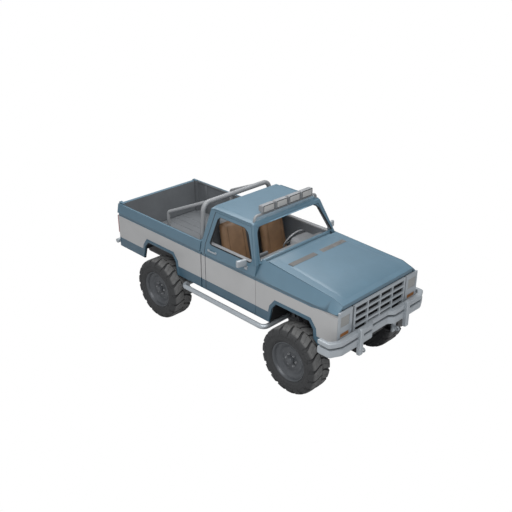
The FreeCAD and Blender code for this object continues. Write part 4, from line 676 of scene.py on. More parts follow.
def tread_block(bm, turn, side):
    """One block from the crown over the shoulder, leaning round the tyre, with a sipe down its middle."""
    tops = []
    feet = []
    for across, top, foot, foot_across in BLOCK_STATIONS:
        share = across / BLOCK_STATIONS[-1][0]
        half = BLOCK_HALF + (BLOCK_FOOT_HALF - BLOCK_HALF) * share ** 2
        lead = BLOCK_LEAD * math.cos(math.pi * share)
        tops.append([])
        feet.append([])
        for sample in BLOCK_SAMPLES:
            sunk = SIPE_DEPTH if sample == 0 and SIPE_REACH[0] < across < SIPE_REACH[1] else 0
            angle = turn + (lead + sample * half) / TYRE_RADIUS
            tops[-1].append(bm.verts.new(about_y(top - sunk, angle, side * across)))
            angle = turn + (lead + sample * (half + BLOCK_FLARE)) / TYRE_RADIUS
            feet[-1].append(bm.verts.new(about_y(foot, angle, side * foot_across)))
    quads(bm, tops, around=False)
    rim = []
    for index in (0, -1):
        for a, b, c, d in zip(tops, tops[1:], feet[1:], feet):
            bm.faces.new((a[index], b[index], c[index], d[index]))
            rim.append((a[index], b[index]))
    for row, foot_row in ((tops[0], feet[0]), (tops[-1], feet[-1])):
        quads(bm, [row, foot_row], around=False)
        rim += zip(row, row[1:])
    return [bm.edges.get(pair) for pair in rim]


def tyre_form():
    """A tyre with staggered rows of blocks and short ribs on the wall."""
    bm = bmesh.new()
    pitch = 2 * math.pi / BLOCK_COUNT
    rims = []
    for index in range(BLOCK_COUNT):
        rims += tread_block(bm, index * pitch, 1)
        rims += tread_block(bm, (index + 0.5) * pitch, -1)
    bmesh.ops.bevel(bm, geom=rims, offset=BLOCK_ROUND, segments=2, profile=0.6, affect="EDGES",
                    clamp_overlap=False)
    revolved(bm, CARCASS + [(radius, -across) for radius, across in reversed(CARCASS)], 108)
    for index in range(BLOCK_COUNT):
        for side, lag in ((1, 0.5), (-1, 0.0)):
            for shift in (-TYRE_RIB_SHIFT, TYRE_RIB_SHIFT):
                angle = (index + lag) * pitch + shift / TYRE_RIB_RADIUS
                for vert in box_mesh(bm, *TYRE_RIB):
                    x, y, z = vert.co
                    vert.co = about_y(x, angle, side * y) + about_y(z, angle + math.pi / 2, 0)
    return bm


# The wheel's section about its own middle: (radius, across), outer side positive.
RIM_SECTION = [(0.304, -0.150), (0.306, -0.162), (0.298, -0.168), (0.288, -0.163), (0.279, -0.152),
               (0.268, -0.141), (0.240, -0.110), (0.224, -0.090), (0.223, 0.058), (0.037, 0.062),
               (0.037, 0.120), (0.052, 0.120), (0.061, 0.116), (0.063, 0.086), (0.072, 0.081),
               (0.110, 0.083), (0.134, 0.088), (0.150, 0.083), (0.186, 0.078), (0.197, 0.080),
               (0.206, 0.090), (0.224, 0.104), (0.255, 0.118), (0.262, 0.122), (0.264, 0.128),
               (0.270, 0.129), (0.276, 0.146), (0.284, 0.156), (0.291, 0.165), (0.299, 0.168),
               (0.306, 0.163), (0.304, 0.148), (0.288, 0.140), (0.236, 0.100), (0.236, -0.086),
               (0.288, -0.140)]
CAP_SECTION = [(0.0, 0.143), (0.040, 0.1425), (0.050, 0.136), (0.053, 0.118)]
VALVE = [(0.262, 0.112, 0.010), (0.252, 0.140, 0.010)]
# A nut's section: (size, across); above the washer every other point is drawn in, which makes the hexagon.
NUT_SECTION = [(0.020, 0.080), (0.020, 0.090), (0.018, 0.092), (0.016, 0.093), (0.016, 0.106),
               (0.011, 0.111), (0.004, 0.113)]
WASHER_TOP = 0.0925
HEXAGON_DRAW = 0.88
NUT_COUNT = 6
NUT_CIRCLE = 0.092
RIVET_COUNT = 8
RIVET_CIRCLE = 0.176
RIVET_ACROSS = 0.079


def rim_form():
    """A deep steel wheel with a rolled lip, a stepped barrel, a pressed disc, a cap and a valve."""
    bm = bmesh.new()
    revolved(bm, RIM_SECTION, 72)
    revolved(bm, softened(CAP_SECTION, 0.35), 36, around=False)
    tube_mesh(bm, VALVE, 0.0045, 8)
    return bm


def nuts_form():
    """The wheel nuts, each a washer, a hexagon and a domed tip, and the rivets of the disc."""
    bm = bmesh.new()
    for turn in turns(NUT_COUNT):
        rails = []
        for size, across in NUT_SECTION:
            draws = (1.0, HEXAGON_DRAW if across > WASHER_TOP else 1.0)
            rails.append([about_y(NUT_CIRCLE, turn, 0) + about_y(size * draws[step % 2], angle + turn, across)
                          for step, angle in enumerate(turns(12))])
        strip(bm, rails)
    for turn in turns(RIVET_COUNT):
        spot = about_y(RIVET_CIRCLE, turn + math.pi / RIVET_COUNT, RIVET_ACROSS)
        for vert in bmesh.ops.create_uvsphere(bm, u_segments=12, v_segments=6, radius=0.007)["verts"]:
            vert.co = Vector((vert.co.x, vert.co.z * 0.6, vert.co.y)) + spot
    return bm


def add_wheels():
    """The four tyres, rims and sets of nuts; those on the right are mirror images."""
    made = {}
    for label, form, degrees, slot_name, material in (("tyre", tyre_form, 38, "tyre_rubber", RUBBER),
                                                      ("rim", rim_form, 40, "wheel_steel", WHEEL_PAINT),
                                                      ("nuts", nuts_form, 40, "wheel_steel", NUT_METAL)):
        mesh = mesh_of(form(), label)
        shade(mesh, degrees)
        mesh.materials.append(material)
        mirrored = mesh.copy()
        mirrored.transform(Matrix.Diagonal((1, -1, 1, 1)))
        mirrored.flip_normals()
        shade(mirrored, 38)
        made[label] = ({"left": mesh, "right": mirrored}, slot_name)
    for end, x in (("front", FRONT_AXLE), ("rear", REAR_AXLE)):
        for side_name, side in SIDES.items():
            for label, (meshes, slot_name) in made.items():
                name = f"{label}_{end}_{side_name}"
                item = placed(f"{name}_dressed", meshes[side_name])
                item.location = (x, side * HUB_HALF, TYRE_RADIUS)
                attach(item, f"wheel_{end}_{side_name}")
                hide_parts(f"rim_{end}_{side_name}" if label == "nuts" else name)


def faces_point(place, normal, target, least):
    """Whether a face looks toward a point."""
    away = target - place
    return normal.dot(away) > least * away.length


def bed_finish(place, normal):
    """Grey inside the bed, black below it and in the wheel tunnels, paint outside."""
    wheel = Vector((REAR_AXLE, math.copysign(HUB_HALF, place.y), TYRE_RADIUS))
    if abs(place.y) < SKIN_INNER and place.z < 1.215 and faces_point(place, normal, wheel, 0.35):
        return 2
    if place.z < 1.06 and normal.z < -0.5:
        return 2
    inside = abs(place.y) < BED_INNER and 1.05 < place.z < BED_TOP and -2.48 < place.x < -0.36
    return 1 if inside else 0


def tailgate_finish(place, normal):
    """Bed paint on the face that looks into the bed."""
    return 1 if normal.x > 0.5 else 0


def cab_finish(place, normal):
    """Dark trim on the faces that look into the cab, black below the floor."""
    if place.z < 0.95 and normal.z < -0.5:
        return 2
    inside = abs(place.y) < 0.86 and 0.93 < place.z < 2.20 and -0.26 < place.x < 0.97
    return 1 if inside and faces_point(place, normal, CAB_MIDDLE, 0.30) else 0


def door_finish(place, normal):
    """Dark trim on the faces that look into the cab."""
    return 1 if abs(place.y) < 0.87 and faces_point(place, normal, CAB_MIDDLE, 0.35) else 0


def fender_finish(place, normal):
    """A second finish on the faces that look inward or down."""
    inward = -math.copysign(1, place.y) * normal.y
    if abs(place.y) < SKIN_INNER and inward > 0.4 and place.z < 1.60:
        return 1
    return 1 if normal.z < -0.6 and place.z > 1.40 else 0


def under_finish(place, normal):
    """A second finish on the faces that look down."""
    return 1 if normal.z < -0.3 else 0


def add_refined():
    """The CAD nodes with rounded edges, each in its finishes."""
    refined("bed", 0.005, bed_finish, [TWO_TONE, BED_PAINT, LINER])
    refined("tailgate", 0.005, tailgate_finish, [TWO_TONE, BED_PAINT])
    refined("cab_shell", 0.004, cab_finish, [TWO_TONE, DARK_PLASTIC, LINER])
    refined("door_left", 0.004, door_finish, [TWO_TONE, DARK_PLASTIC])
    refined("door_right", 0.004, door_finish, [TWO_TONE, DARK_PLASTIC])
    refined("fenders", 0.006, fender_finish, [TWO_TONE, LINER])
    refined("hood_panel", 0.006, under_finish, [TWO_TONE, LINER])
    refined("grille", 0.0045)
    refined("lamp_bezels", 0.007, segments=3)
    for name in ("tail_lamps", "roll_hoop", "roll_stays", "step_bars", "rear_bumper", "engine_block",
                 "frame"):
        refined(name, 0.003, degrees=50)
    refined("headlamps", 0.004)
    refined("turn_lamps", 0.004)


# The wheel openings' outlines in (x, z), and the lip's section: (away from the opening, out).
FRONT_ARCH = [(1.160, 0.879), (1.219, 1.129), (1.295, 1.224), (1.917, 1.224), (1.993, 1.129),
              (2.012, 0.979), (2.104, 0.916)]
REAR_ARCH = [(-1.805, 0.879), (-1.744, 1.105), (-1.668, 1.200), (-1.019, 1.200), (-0.943, 1.105),
             (-0.924, 0.955), (-0.914, 0.879)]
ARCH_MIDDLE = 0.90
LIP_SECTION = [(-0.001, 0.864), (-0.001, 0.888), (0.004, 0.8925), (0.040, 0.8930), (0.056, 0.8865),
               (0.056, 0.880)]


def mitred(path, index, offset, middle):
    """A point off a path of (x, z), square to it and away from the middle."""
    here = Vector(path[index])
    pulls = []
    for near in (index - 1, index):
        if 0 <= near < len(path) - 1:
            run = (Vector(path[near + 1]) - Vector(path[near])).normalized()
            across = Vector((-run.y, run.x))
            pulls.append(across if across.dot(here - middle) > 0 else -across)
    pull = sum(pulls, Vector((0, 0))).normalized()
    return here + pull * offset / max(pull.dot(pulls[0]), 0.5)


def add_arch_lips():
    """Flat lips round the wheel openings, standing a little proud of the skin."""
    bm = bmesh.new()
    for path, axle in ((FRONT_ARCH, FRONT_AXLE), (REAR_ARCH, REAR_AXLE)):
        middle = Vector((axle, ARCH_MIDDLE))
        for side in SIDES.values():
            rails = []
            for index in range(len(path)):
                rails.append([])
                for offset, across in LIP_SECTION:
                    spot = mitred(path, index, offset, middle)
                    rails[-1].append((spot.x, side * across, spot.y))
            strip(bm, rails)
    piece(bm, "arch_lips", "chassis", LOW_PAINT)


# The bumper's plan line: outer and inner points (x, y), from its rear tip to the middle.
BUMPER_OUTER = [(2.225, 1.060), (2.235, 1.068), (2.260, 1.070), (2.420, 1.070), (2.448, 1.057),
                (2.516, 0.920), (2.525, 0.890), (2.525, 0.270), (2.518, 0.250), (2.468, 0.190),
                (2.460, 0.168)]
BUMPER_INNER = [(2.225, 1.022), (2.235, 1.012), (2.260, 1.010), (2.370, 1.010), (2.385, 1.004),
                (2.433, 0.935), (2.440, 0.915), (2.440, 0.300), (2.436, 0.290), (2.383, 0.226),
                (2.375, 0.204)]
RAIL_HEIGHTS = ((1.085, 1.157), (0.943, 1.055))
# Half of a rail's section: (share of the way in, share of the curve left), from its outer face to its inner.
RAIL_CURVE = 0.016
RAIL_HALF = [(0.0, 1.0), (0.06, 0.3), (0.22, 0.0), (0.9, 0.0), (1.0, 0.4)]
TIP_SHRINK = {0: 0.016, 1: 0.005}
# An upright's stations: (height, front, half width).
POST_STATIONS = ((0.800, 2.548, 0.026), (0.812, 2.560, 0.034), (0.825, 2.565, 0.036), (1.180, 2.565, 0.036),
                 (1.200, 2.558, 0.034), (1.212, 2.540, 0.026))
POST_BACK = 2.503
POST_OUT = 0.530
POST_CUT = 0.010
BUMPER_BLOCKS = (((2.405, 0.362, 0.722), (2.441, 0.430, 1.050), 0.004, 2),
                 ((2.400, 0.500, 0.960), (2.506, 0.560, 1.140), 0.004, 2),
                 ((2.436, 0.384, 0.772), (2.470, 0.408, 0.818), 0.003, 2))
# The tow eye's section: (radius, out), about its middle.
EYE_SECTION = ((0.0165, 0.386), (0.035, 0.385), (0.038, 0.390), (0.038, 0.402), (0.035, 0.407),
               (0.0165, 0.406))
EYE_MIDDLE = Vector((2.490, 0.0, 0.795))


def bumper_rail(bm, low, high):
    """One rail along the plan line, with a rounded section and rounded tips."""
    stations = list(zip(BUMPER_OUTER, BUMPER_INNER))
    stations += [((a[0], -a[1]), (b[0], -b[1])) for a, b in reversed(stations)]
    rails = []
    for index, (outer, inner) in enumerate(stations):
        shrink = TIP_SHRINK.get(min(index, len(stations) - 1 - index), 0.0)
        section = [(share, low + shrink + RAIL_CURVE * left) for share, left in RAIL_HALF]
        section += [(share, high - shrink - RAIL_CURVE * left) for share, left in reversed(RAIL_HALF)]
        rails.append([(*Vector(outer).lerp(Vector(inner), share), height) for share, height in section])
    strip(bm, rails)


def add_front_bumper():
    """Two rounded rails, the uprights, the brackets and the tow eyes."""
    bm = bmesh.new()
    for low, high in RAIL_HEIGHTS:
        bumper_rail(bm, low, high)
    for side in SIDES.values():
        y = side * POST_OUT
        rails = []
        for z, x, half in POST_STATIONS:
            flank = [(POST_BACK, half), (x - POST_CUT, half), (x, half - POST_CUT)]
            rails.append([(u, y - v, z) for u, v in flank] + [(u, y + v, z) for u, v in reversed(flank)])
        strip(bm, rails)
        ring(bm, [[EYE_MIDDLE + about_y(radius, turn, side * out) for radius, out in EYE_SECTION]
                  for turn in turns(28)])
    for block in BUMPER_BLOCKS:
        both_sides(bm, *block)
    item = piece(bm, "front_bumper_made", "chassis", CHROME, 32)
    even_shading(item)
    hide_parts("front_bumper")


# The hood's line along the truck: (x, z) at the cowl, at the bend of the nose and at its front.
HOOD_LINE = ((1.008, 1.745), (2.220, 1.662), (2.405, 1.603))
# The raised middle: (x, half width) along it, and (share of the half, rise) across it.
RISE_STATIONS = [(1.040, 0.596), (1.075, 0.600), (1.350, 0.618), (1.900, 0.658), (2.220, 0.680),
                 (2.330, 0.672)]
RISE_SECTION = [(1.0, -0.006), (1.0, 0.0005), (0.955, 0.0065), (0.91, 0.009)]
RISE_END = 0.0005
VENT_START = 1.250
VENT_STOP = 1.337
VENT_INNER = 0.062
VENT_OUTER = 0.592
SLAT_COUNT = 7
SLAT_PITCH = 0.0125
SLAT_DEPTH = 0.0095
VENT_BARS = (0.062, 0.238, 0.415, 0.590)
# The strip in the gap beside the hood: (x, half width) along it.
GAP_LINE = ((1.012, 0.7395), (1.4, 0.7555), (1.8, 0.773), (2.2, 0.7895), (2.395, 0.7895))
GAP_SECTION = ((-0.001, -0.030), (0.007, -0.030), (0.007, -0.016), (-0.001, -0.016))


def hood_top(x):
    """The height of the hood's skin at a place along the truck."""
    cowl, bend, front = HOOD_LINE
    start, stop = (cowl, bend) if x < bend[0] else (bend, front)
    return start[1] - (start[1] - stop[1]) / (stop[0] - start[0]) * (x - start[0])


def add_hood_details():
    """The hood's raised middle, its two air vents and the strips in the gaps at its sides."""
    bm = bmesh.new()
    rails = []
    for x, half in RISE_STATIONS:
        limit = RISE_END if x in (RISE_STATIONS[0][0], RISE_STATIONS[-1][0]) else 1.0
        flank = [(half * share, hood_top(x) + min(rise, limit)) for share, rise in RISE_SECTION]
        rails.append([(x, y, z) for y, z in flank] + [(x, -y, z) for y, z in reversed(flank)])
    strip(bm, rails)
    piece(bm, "hood_rise", "hood", BLUE_PAINT, 20)
    bm = bmesh.new()
    for step in range(SLAT_COUNT):
        x = VENT_START + step * SLAT_PITCH
        low = (x, VENT_INNER, hood_top(x) + 0.004)
        both_sides(bm, low, (x + SLAT_DEPTH, VENT_OUTER, hood_top(x) + 0.0125), 0.002, 2)
    for y in VENT_BARS + tuple(-y for y in VENT_BARS):
        low = (VENT_START - 0.002, y - 0.003, hood_top(VENT_START))
        box_mesh(bm, low, (VENT_STOP, y + 0.003, hood_top(VENT_STOP) + 0.0115), 0.001, 1)
    piece(bm, "hood_vents", "hood", VENT_PLASTIC)
    bm = bmesh.new()
    for side in SIDES.values():
        strip(bm, [[(x, side * (half + out), hood_top(x) + rise) for out, rise in GAP_SECTION]
                   for x, half in GAP_LINE])
    piece(bm, "hood_seals", "chassis", SEAL, None)


FLOOR_RIB = [(-0.030, -0.004), (-0.022, 0.006), (0.022, 0.006), (0.030, -0.004)]
FLOOR_RIB_PITCH = 0.158
FLOOR_RIB_ENDS = (-2.420, -0.385)
WALL_RIB_PLACES = (-2.160, -0.560)
WALL_RAIL = ((-2.375, 0.830, 1.628), (-0.380, 0.8415, 1.650), 0.003, 2)


def add_bed_ribs():
    """Seven long ribs on the bed's floor, and the uprights and the rail of its walls."""
    bm = bmesh.new()
    for index in range(-3, 4):
        y = index * FLOOR_RIB_PITCH
        strip(bm, [[(x, y + across, BED_FLOOR + rise) for across, rise in FLOOR_RIB] for x in FLOOR_RIB_ENDS])
    for x in WALL_RIB_PLACES:
        both_sides(bm, (x - 0.030, 0.832, BED_FLOOR), (x + 0.030, 0.8415, 1.640), 0.003, 2)
    both_sides(bm, *WALL_RAIL)
    piece(bm, "bed_ribs", "chassis", BED_PAINT)


def chamfered(corners, cuts):
    """A closed outline whose corners are cut back and softly rounded."""
    result = []
    for index, corner in enumerate(corners):
        here = Vector(corner)
        start = here + (Vector(corners[index - 1]) - here).normalized() * cuts[index]
        stop = here + (Vector(corners[(index + 1) % len(corners)]) - here).normalized() * cuts[index]
        for step in range(CORNER_POINTS):
            t = step / (CORNER_POINTS - 1)
            result.append(tuple(curve_point(start, here, stop, t).lerp(start.lerp(stop, t), 0.45)))
    return result


def plain_outline(corners):
    """Each corner repeated, so that it pairs with a rounded outline."""
    return [corner for corner in corners for _ in range(CORNER_POINTS)]


def grown(outline, amount):
    """An outline moved outward from its middle by about the amount."""
    middle = sum((Vector(p) for p in outline), Vector((0, 0))) / len(outline)
    return [tuple(Vector(p) + (Vector(p) - middle).normalized() * amount) for p in outline]


def rectangle(left, right, low, high):
    """The corners of an upright rectangle."""
    return [(left, low), (right, low), (right, high), (left, high)]


def frame_ring(bm, outer, inner, lift, thick):
    """A flat ring between two outlines of equal count; lift turns a point and a depth into a place."""
    ring(bm, [[lift(a, 0), lift(b, 0), lift(b, thick), lift(a, thick)] for a, b in zip(outer, inner)])


# A door's window opening in (x, z), from its lower rear corner, and how far each corner is cut back.
WINDOW = [(-0.135, 1.668), (0.813, 1.668), (0.584, 2.113), (-0.045, 2.113)]
WINDOW_EDGE = [(-0.137, 1.667), (0.815, 1.667), (0.585, 2.115), (-0.046, 2.115)]
WINDOW_CUTS = (0.035, 0.075, 0.085, 0.050)
CORNER_POINTS = 5
# How far out the cab's upper side is: (height, half width) at the belt and at the roof.
GREENHOUSE = ((BELT, 0.868), (2.190, 0.716))
# A left door's blocks: corners, rounding and steps.
SILL = ((-0.150, 0.788, 1.652), (0.800, 0.842, 1.680), 0.006)
CARD = ((-0.130, 0.815, 0.985), (0.800, 0.846, 1.640), 0.008)
ARMREST = ((0.020, 0.770, 1.300), (0.500, 0.830, 1.350), 0.018, 4)
LATCH = ((0.600, 0.800, 1.455), (0.690, 0.818, 1.485), 0.005)
HANDLE_ENDS = (((-0.132, 0.872, 1.573), (-0.102, 0.8985, 1.597), 0.003, 2),
               ((0.022, 0.872, 1.573), (0.053, 0.8985, 1.597), 0.003, 2))
HANDLE_LINE = [(-0.130, 0.884), (-0.126, 0.9035), (0.046, 0.9035), (0.050, 0.884)]
HANDLE_SECTION = ((0.0, 1.574), (0.0, 1.594), (0.007, 1.594), (0.007, 1.574))
CRANK = [(0.560, 0.812, 1.270), (0.560, 0.790, 1.270), (0.545, 0.786, 1.200), (0.540, 0.786, 1.180)]
CRANK_KNOB = [(0.540, 0.790, 1.182), (0.540, 0.760, 1.182)]
SPEAKER_SLOTS = 5
SPEAKER_FOOT = 1.050
SPEAKER_PITCH = 0.020
MIRROR_TURN = math.radians(14)
MIRROR_PLACE = Vector((0.698, 0.984, 1.691))
MIRROR_CASE = ((-0.026, -0.080, -0.052), (0.026, 0.080, 0.052), 0.016, 4)
MIRROR_PANE = ((-0.002, -0.068, -0.041), (0.002, 0.068, 0.041), 0.0015, 2)
MIRROR_PANE_SHIFT = -0.0265
MIRROR_FOOT = ((0.664, 0.862, 1.560), (0.722, 0.888, 1.612), 0.007)
MIRROR_STEM = [(0.690, 0.862), (0.696, 0.925), (0.698, 0.985)]
STEM_FOOT = 1.590
STEM_RISE = 0.075


def mirror_block(bm, block, shift=0.0):
    """A block made round the origin, moved to the mirror's place and angle."""
    turned = Matrix.Translation(MIRROR_PLACE) @ Matrix.Rotation(MIRROR_TURN, 4, "Z")
    for vert in box_mesh(bm, *block):
        vert.co = turned @ (vert.co + Vector((shift, 0, 0)))


def door_skin(point, depth):
    """A place under the skin of the left door's upper part."""
    (belt, wide), (roof, narrow) = GREENHOUSE
    x, z = point
    return (x, wide + (narrow - wide) * (z - belt) / (roof - belt) - 0.0015 - depth, z)


def add_door_details(name, side):
    """A door's window frame, seal, sill strip, inner card, crank, handle and mirror."""
    door = f"door_{name}"
    rounded = chamfered(WINDOW, WINDOW_CUTS)
    bm = bmesh.new()
    frame_ring(bm, plain_outline(WINDOW_EDGE), rounded, door_skin, 0.040)
    to_side(bm, side)
    piece(bm, f"window_corners_{name}", door, BLUE_PAINT)
    bm = bmesh.new()
    frame_ring(bm, rounded, grown(rounded, -0.011), lambda p, d: door_skin(p, 0.006 + d), 0.022)
    to_side(bm, side)
    piece(bm, f"window_seal_{name}", door, SEAL)
    bm = bmesh.new()
    side_block(bm, side, *SILL)
    piece(bm, f"door_sill_{name}", door, TRIM)
    bm = bmesh.new()
    side_block(bm, side, *CARD)
    side_block(bm, side, *ARMREST)
    piece(bm, f"door_card_{name}", door, DARK_PLASTIC)
    bm = bmesh.new()
    tube_mesh(bm, [(x, side * y, z) for x, y, z in CRANK], 0.008, 10)
    tube_mesh(bm, [(x, side * y, z) for x, y, z in CRANK_KNOB], 0.013)
    side_block(bm, side, *LATCH)
    for row in range(SPEAKER_SLOTS):
        z = SPEAKER_FOOT + row * SPEAKER_PITCH
        side_block(bm, side, (0.620, 0.810, z), (0.760, 0.8155, z + 0.009), 0.002, 2)
    piece(bm, f"door_crank_{name}", door, TRIM)
    bm = bmesh.new()
    strip(bm, [[(x, y - inward, z) for inward, z in HANDLE_SECTION] for x, y in softened(HANDLE_LINE, 0.4)])
    mirror_block(bm, MIRROR_CASE)
    stem = softened(MIRROR_STEM, 0.45, 5)
    foot, tip = MIRROR_STEM[0][1], MIRROR_STEM[-1][1]
    tube_mesh(bm, [(x, y, STEM_FOOT + STEM_RISE * (y - foot) / (tip - foot)) for x, y in stem], 0.0125, 14)
    to_side(bm, side)
    for block in (*HANDLE_ENDS, MIRROR_FOOT):
        side_block(bm, side, *block)
    item = piece(bm, f"door_fittings_{name}_made", door, CHROME, 40)
    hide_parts(f"door_fittings_{name}")
    bm = bmesh.new()
    mirror_block(bm, MIRROR_PANE, MIRROR_PANE_SHIFT)
    to_side(bm, side)
    piece(bm, f"mirror_glass_{name}", door, MIRROR_GLASS)


# The windscreen's middle line, and its opening's (half width, distance up the slope) at sill and roof.
SCREEN_BOTTOM = Vector((0.905, 0.0, 1.690))
SCREEN_TOP = Vector((0.664, 0.0, 2.158))
SCREEN_HALVES = (0.812, 0.660)
SCREEN_CUTS = (0.060, 0.060, 0.100, 0.100)
REAR_WINDOW = rectangle(-0.560, 0.560, 1.750, 2.110)
REAR_CUTS = (0.055, 0.055, 0.055, 0.055)
REAR_FOOT = -0.303
REAR_SLANT = 0.075 / 0.530
DRIP_RAIL = [(0.668, 0.7215, 2.176), (0.640, 0.7135, 2.200), (-0.150, 0.7135, 2.200), (-0.190, 0.7180, 2.180)]


def screen_place(point, depth):
    """A place on the windscreen by its distances across and up the slope."""
    across, up = point
    rise = (SCREEN_TOP - SCREEN_BOTTOM).normalized()
    place = SCREEN_BOTTOM + rise * up + Vector((rise.z, 0, -rise.x)) * (0.004 - depth)
    return (place.x, across, place.z)


def rear_place(point, depth):
    """A place on the slanted rear window, by its distance across and its height."""
    y, z = point
    return (REAR_FOOT + REAR_SLANT * (z - BELT) + depth, y, z)


def add_cab_details():
    """Rounded corners of the windscreen, seals of both windows and the drip rails."""
    low, high = SCREEN_HALVES
    length = (SCREEN_TOP - SCREEN_BOTTOM).length - 0.006
    corners = [(-low, 0.004), (low, 0.004), (high, length), (-high, length)]
    rounded = chamfered(corners, SCREEN_CUTS)
    bm = bmesh.new()
    frame_ring(bm, plain_outline(grown(corners, 0.006)), grown(rounded, -0.006), screen_place, 0.034)
    piece(bm, "screen_corners", "chassis", BLUE_PAINT)
    bm = bmesh.new()
    outer, inner = grown(rounded, -0.005), grown(rounded, -0.018)
    frame_ring(bm, outer, inner, lambda p, d: screen_place(p, 0.006 + d), 0.016)
    inner = grown(chamfered(REAR_WINDOW, REAR_CUTS), -0.012)
    frame_ring(bm, plain_outline(grown(REAR_WINDOW, 0.014)), inner, rear_place, 0.014)
    piece(bm, "glass_seals", "chassis", SEAL)
    bm = bmesh.new()
    for side in SIDES.values():
        tube_mesh(bm, [(x, side * y, z) for x, y, z in DRIP_RAIL], 0.0075, 8)
    piece(bm, "drip_rails", "chassis", BLUE_PAINT)


WHEEL_PLACE = Vector((0.428, 0.410, 1.520))
COLUMN_TILT = math.radians(28)
WHEEL_RADIUS = 0.203
RIM_THICK = 0.0125
GRIP_DEPTH = 0.0007
GRIP_COUNT = 36
# Stations from the hub out (reach, half width, sunk), and a spoke's section (share of the half, near).
SPOKE_STATIONS = ((0.030, 0.030, -0.018), (0.100, 0.020, -0.012), (0.198, 0.016, -0.002))
SPOKE_SECTION = ((-1.0, -0.004), (1.0, -0.004), (0.8, 0.004), (-0.8, 0.004))
SPOKE_TURNS = (90, 270, 180)
# Rings of the hub pad and of the column's shroud: (size, near).
HUB_STATIONS = ((0.044, -0.028), (0.050, -0.016), (0.050, -0.004), (0.042, 0.004), (0.020, 0.008))
HUB_STRETCH = 1.25
SHROUD_STATIONS = ((0.040, -0.045), (0.046, -0.060), (0.052, -0.170), (0.040, -0.200))


def wheel_spot(right, up, near):
    """A place on the steering wheel: right and up on its face, near toward the driver."""
    face = Vector((-math.cos(COLUMN_TILT), 0, math.sin(COLUMN_TILT)))
    rise = Vector((math.sin(COLUMN_TILT), 0, math.cos(COLUMN_TILT)))
    return WHEEL_PLACE + Vector((0, -1, 0)) * right + rise * up + face * near


def wheel_ring(size, near, count, stretch=1.0):
    """Places once round the steering wheel's axis."""
    return [wheel_spot(size * stretch * math.sin(turn), size * math.cos(turn), near) for turn in turns(count)]


def add_steering_wheel():
    """A dished wheel with a thin rim, finger grips on its inside, flat spokes and a hub pad."""
    bm = bmesh.new()
    rails = []
    for turn in turns(72):
        rails.append([])
        for angle in turns(12):
            thick = RIM_THICK + (GRIP_DEPTH * math.cos(turn * GRIP_COUNT) if math.cos(angle) < 0 else 0)
            reach = WHEEL_RADIUS + thick * math.cos(angle)
            near = thick * math.sin(angle)
            rails[-1].append(wheel_spot(reach * math.sin(turn), reach * math.cos(turn), near))
    ring(bm, rails)
    for turn in SPOKE_TURNS:
        along = Vector((math.sin(math.radians(turn)), math.cos(math.radians(turn))))
        across = Vector((along.y, -along.x))
        strip(bm, [[wheel_spot(*(along * reach + across * half * share), near + sunk)
                    for share, near in SPOKE_SECTION] for reach, half, sunk in SPOKE_STATIONS])
    strip(bm, [wheel_ring(size, near, 24, HUB_STRETCH) for size, near in HUB_STATIONS])
    item = piece(bm, "steering_wheel_made", "steering_wheel", TRIM, 40)
    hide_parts("steering_wheel")


DASH_OUTLINE = [(0.852, 1.335), (0.885, 1.560), (0.893, 1.672), (0.800, 1.640), (0.690, 1.612),
                (0.620, 1.592), (0.530, 1.528), (0.528, 1.505), (0.548, 1.495), (0.552, 1.430),
                (0.530, 1.418), (0.545, 1.390), (0.640, 1.334)]
DASH_HALF = 0.790
# The hood over the dials: its outline in (y, z), and its stations (x, share of the height).
HUMP_OUTLINE = [(0.200, 1.560), (0.225, 1.655), (0.595, 1.655), (0.640, 1.560)]
HUMP_STATIONS = ((0.545, 0.92), (0.552, 1.0), (0.700, 0.96), (0.800, 0.55))
# The dial panel, the grab strip, a vent, the glove box's lid and the radio's place.
DASH_BLOCKS = (((0.534, 0.240, 1.508), (0.552, 0.600, 1.640), 0.010),
               ((0.560, -0.660, 1.580), (0.600, -0.330, 1.628), 0.010),
               ((0.790, -0.745, 1.630), (0.850, -0.620, 1.662), 0.004, 2),
               ((0.5395, -0.660, 1.440), (0.551, -0.300, 1.488), 0.004, 2),
               ((0.538, -0.100, 1.430), (0.551, 0.120, 1.492), 0.004, 2))
# Dials: (across, radius) at one height; a dial's section is (share of the radius, depth).
DIALS = ((0.330, 0.042), (0.425, 0.042), (0.515, 0.030))
DIAL_HEIGHT = 1.575
DIAL_FACE = 0.5345
DIAL_SECTION = ((1.0, 0.0), (1.0, 0.004), (0.9, 0.004), (0.88, 0.002))
TICK_COUNT = 9
TICK_FIRST = -40
TICK_STEP = 32.5


def dial_spot(x, y, reach, turn):
    """A place on a dial's face."""
    return (x, y + reach * math.cos(turn), DIAL_HEIGHT + reach * math.sin(turn))


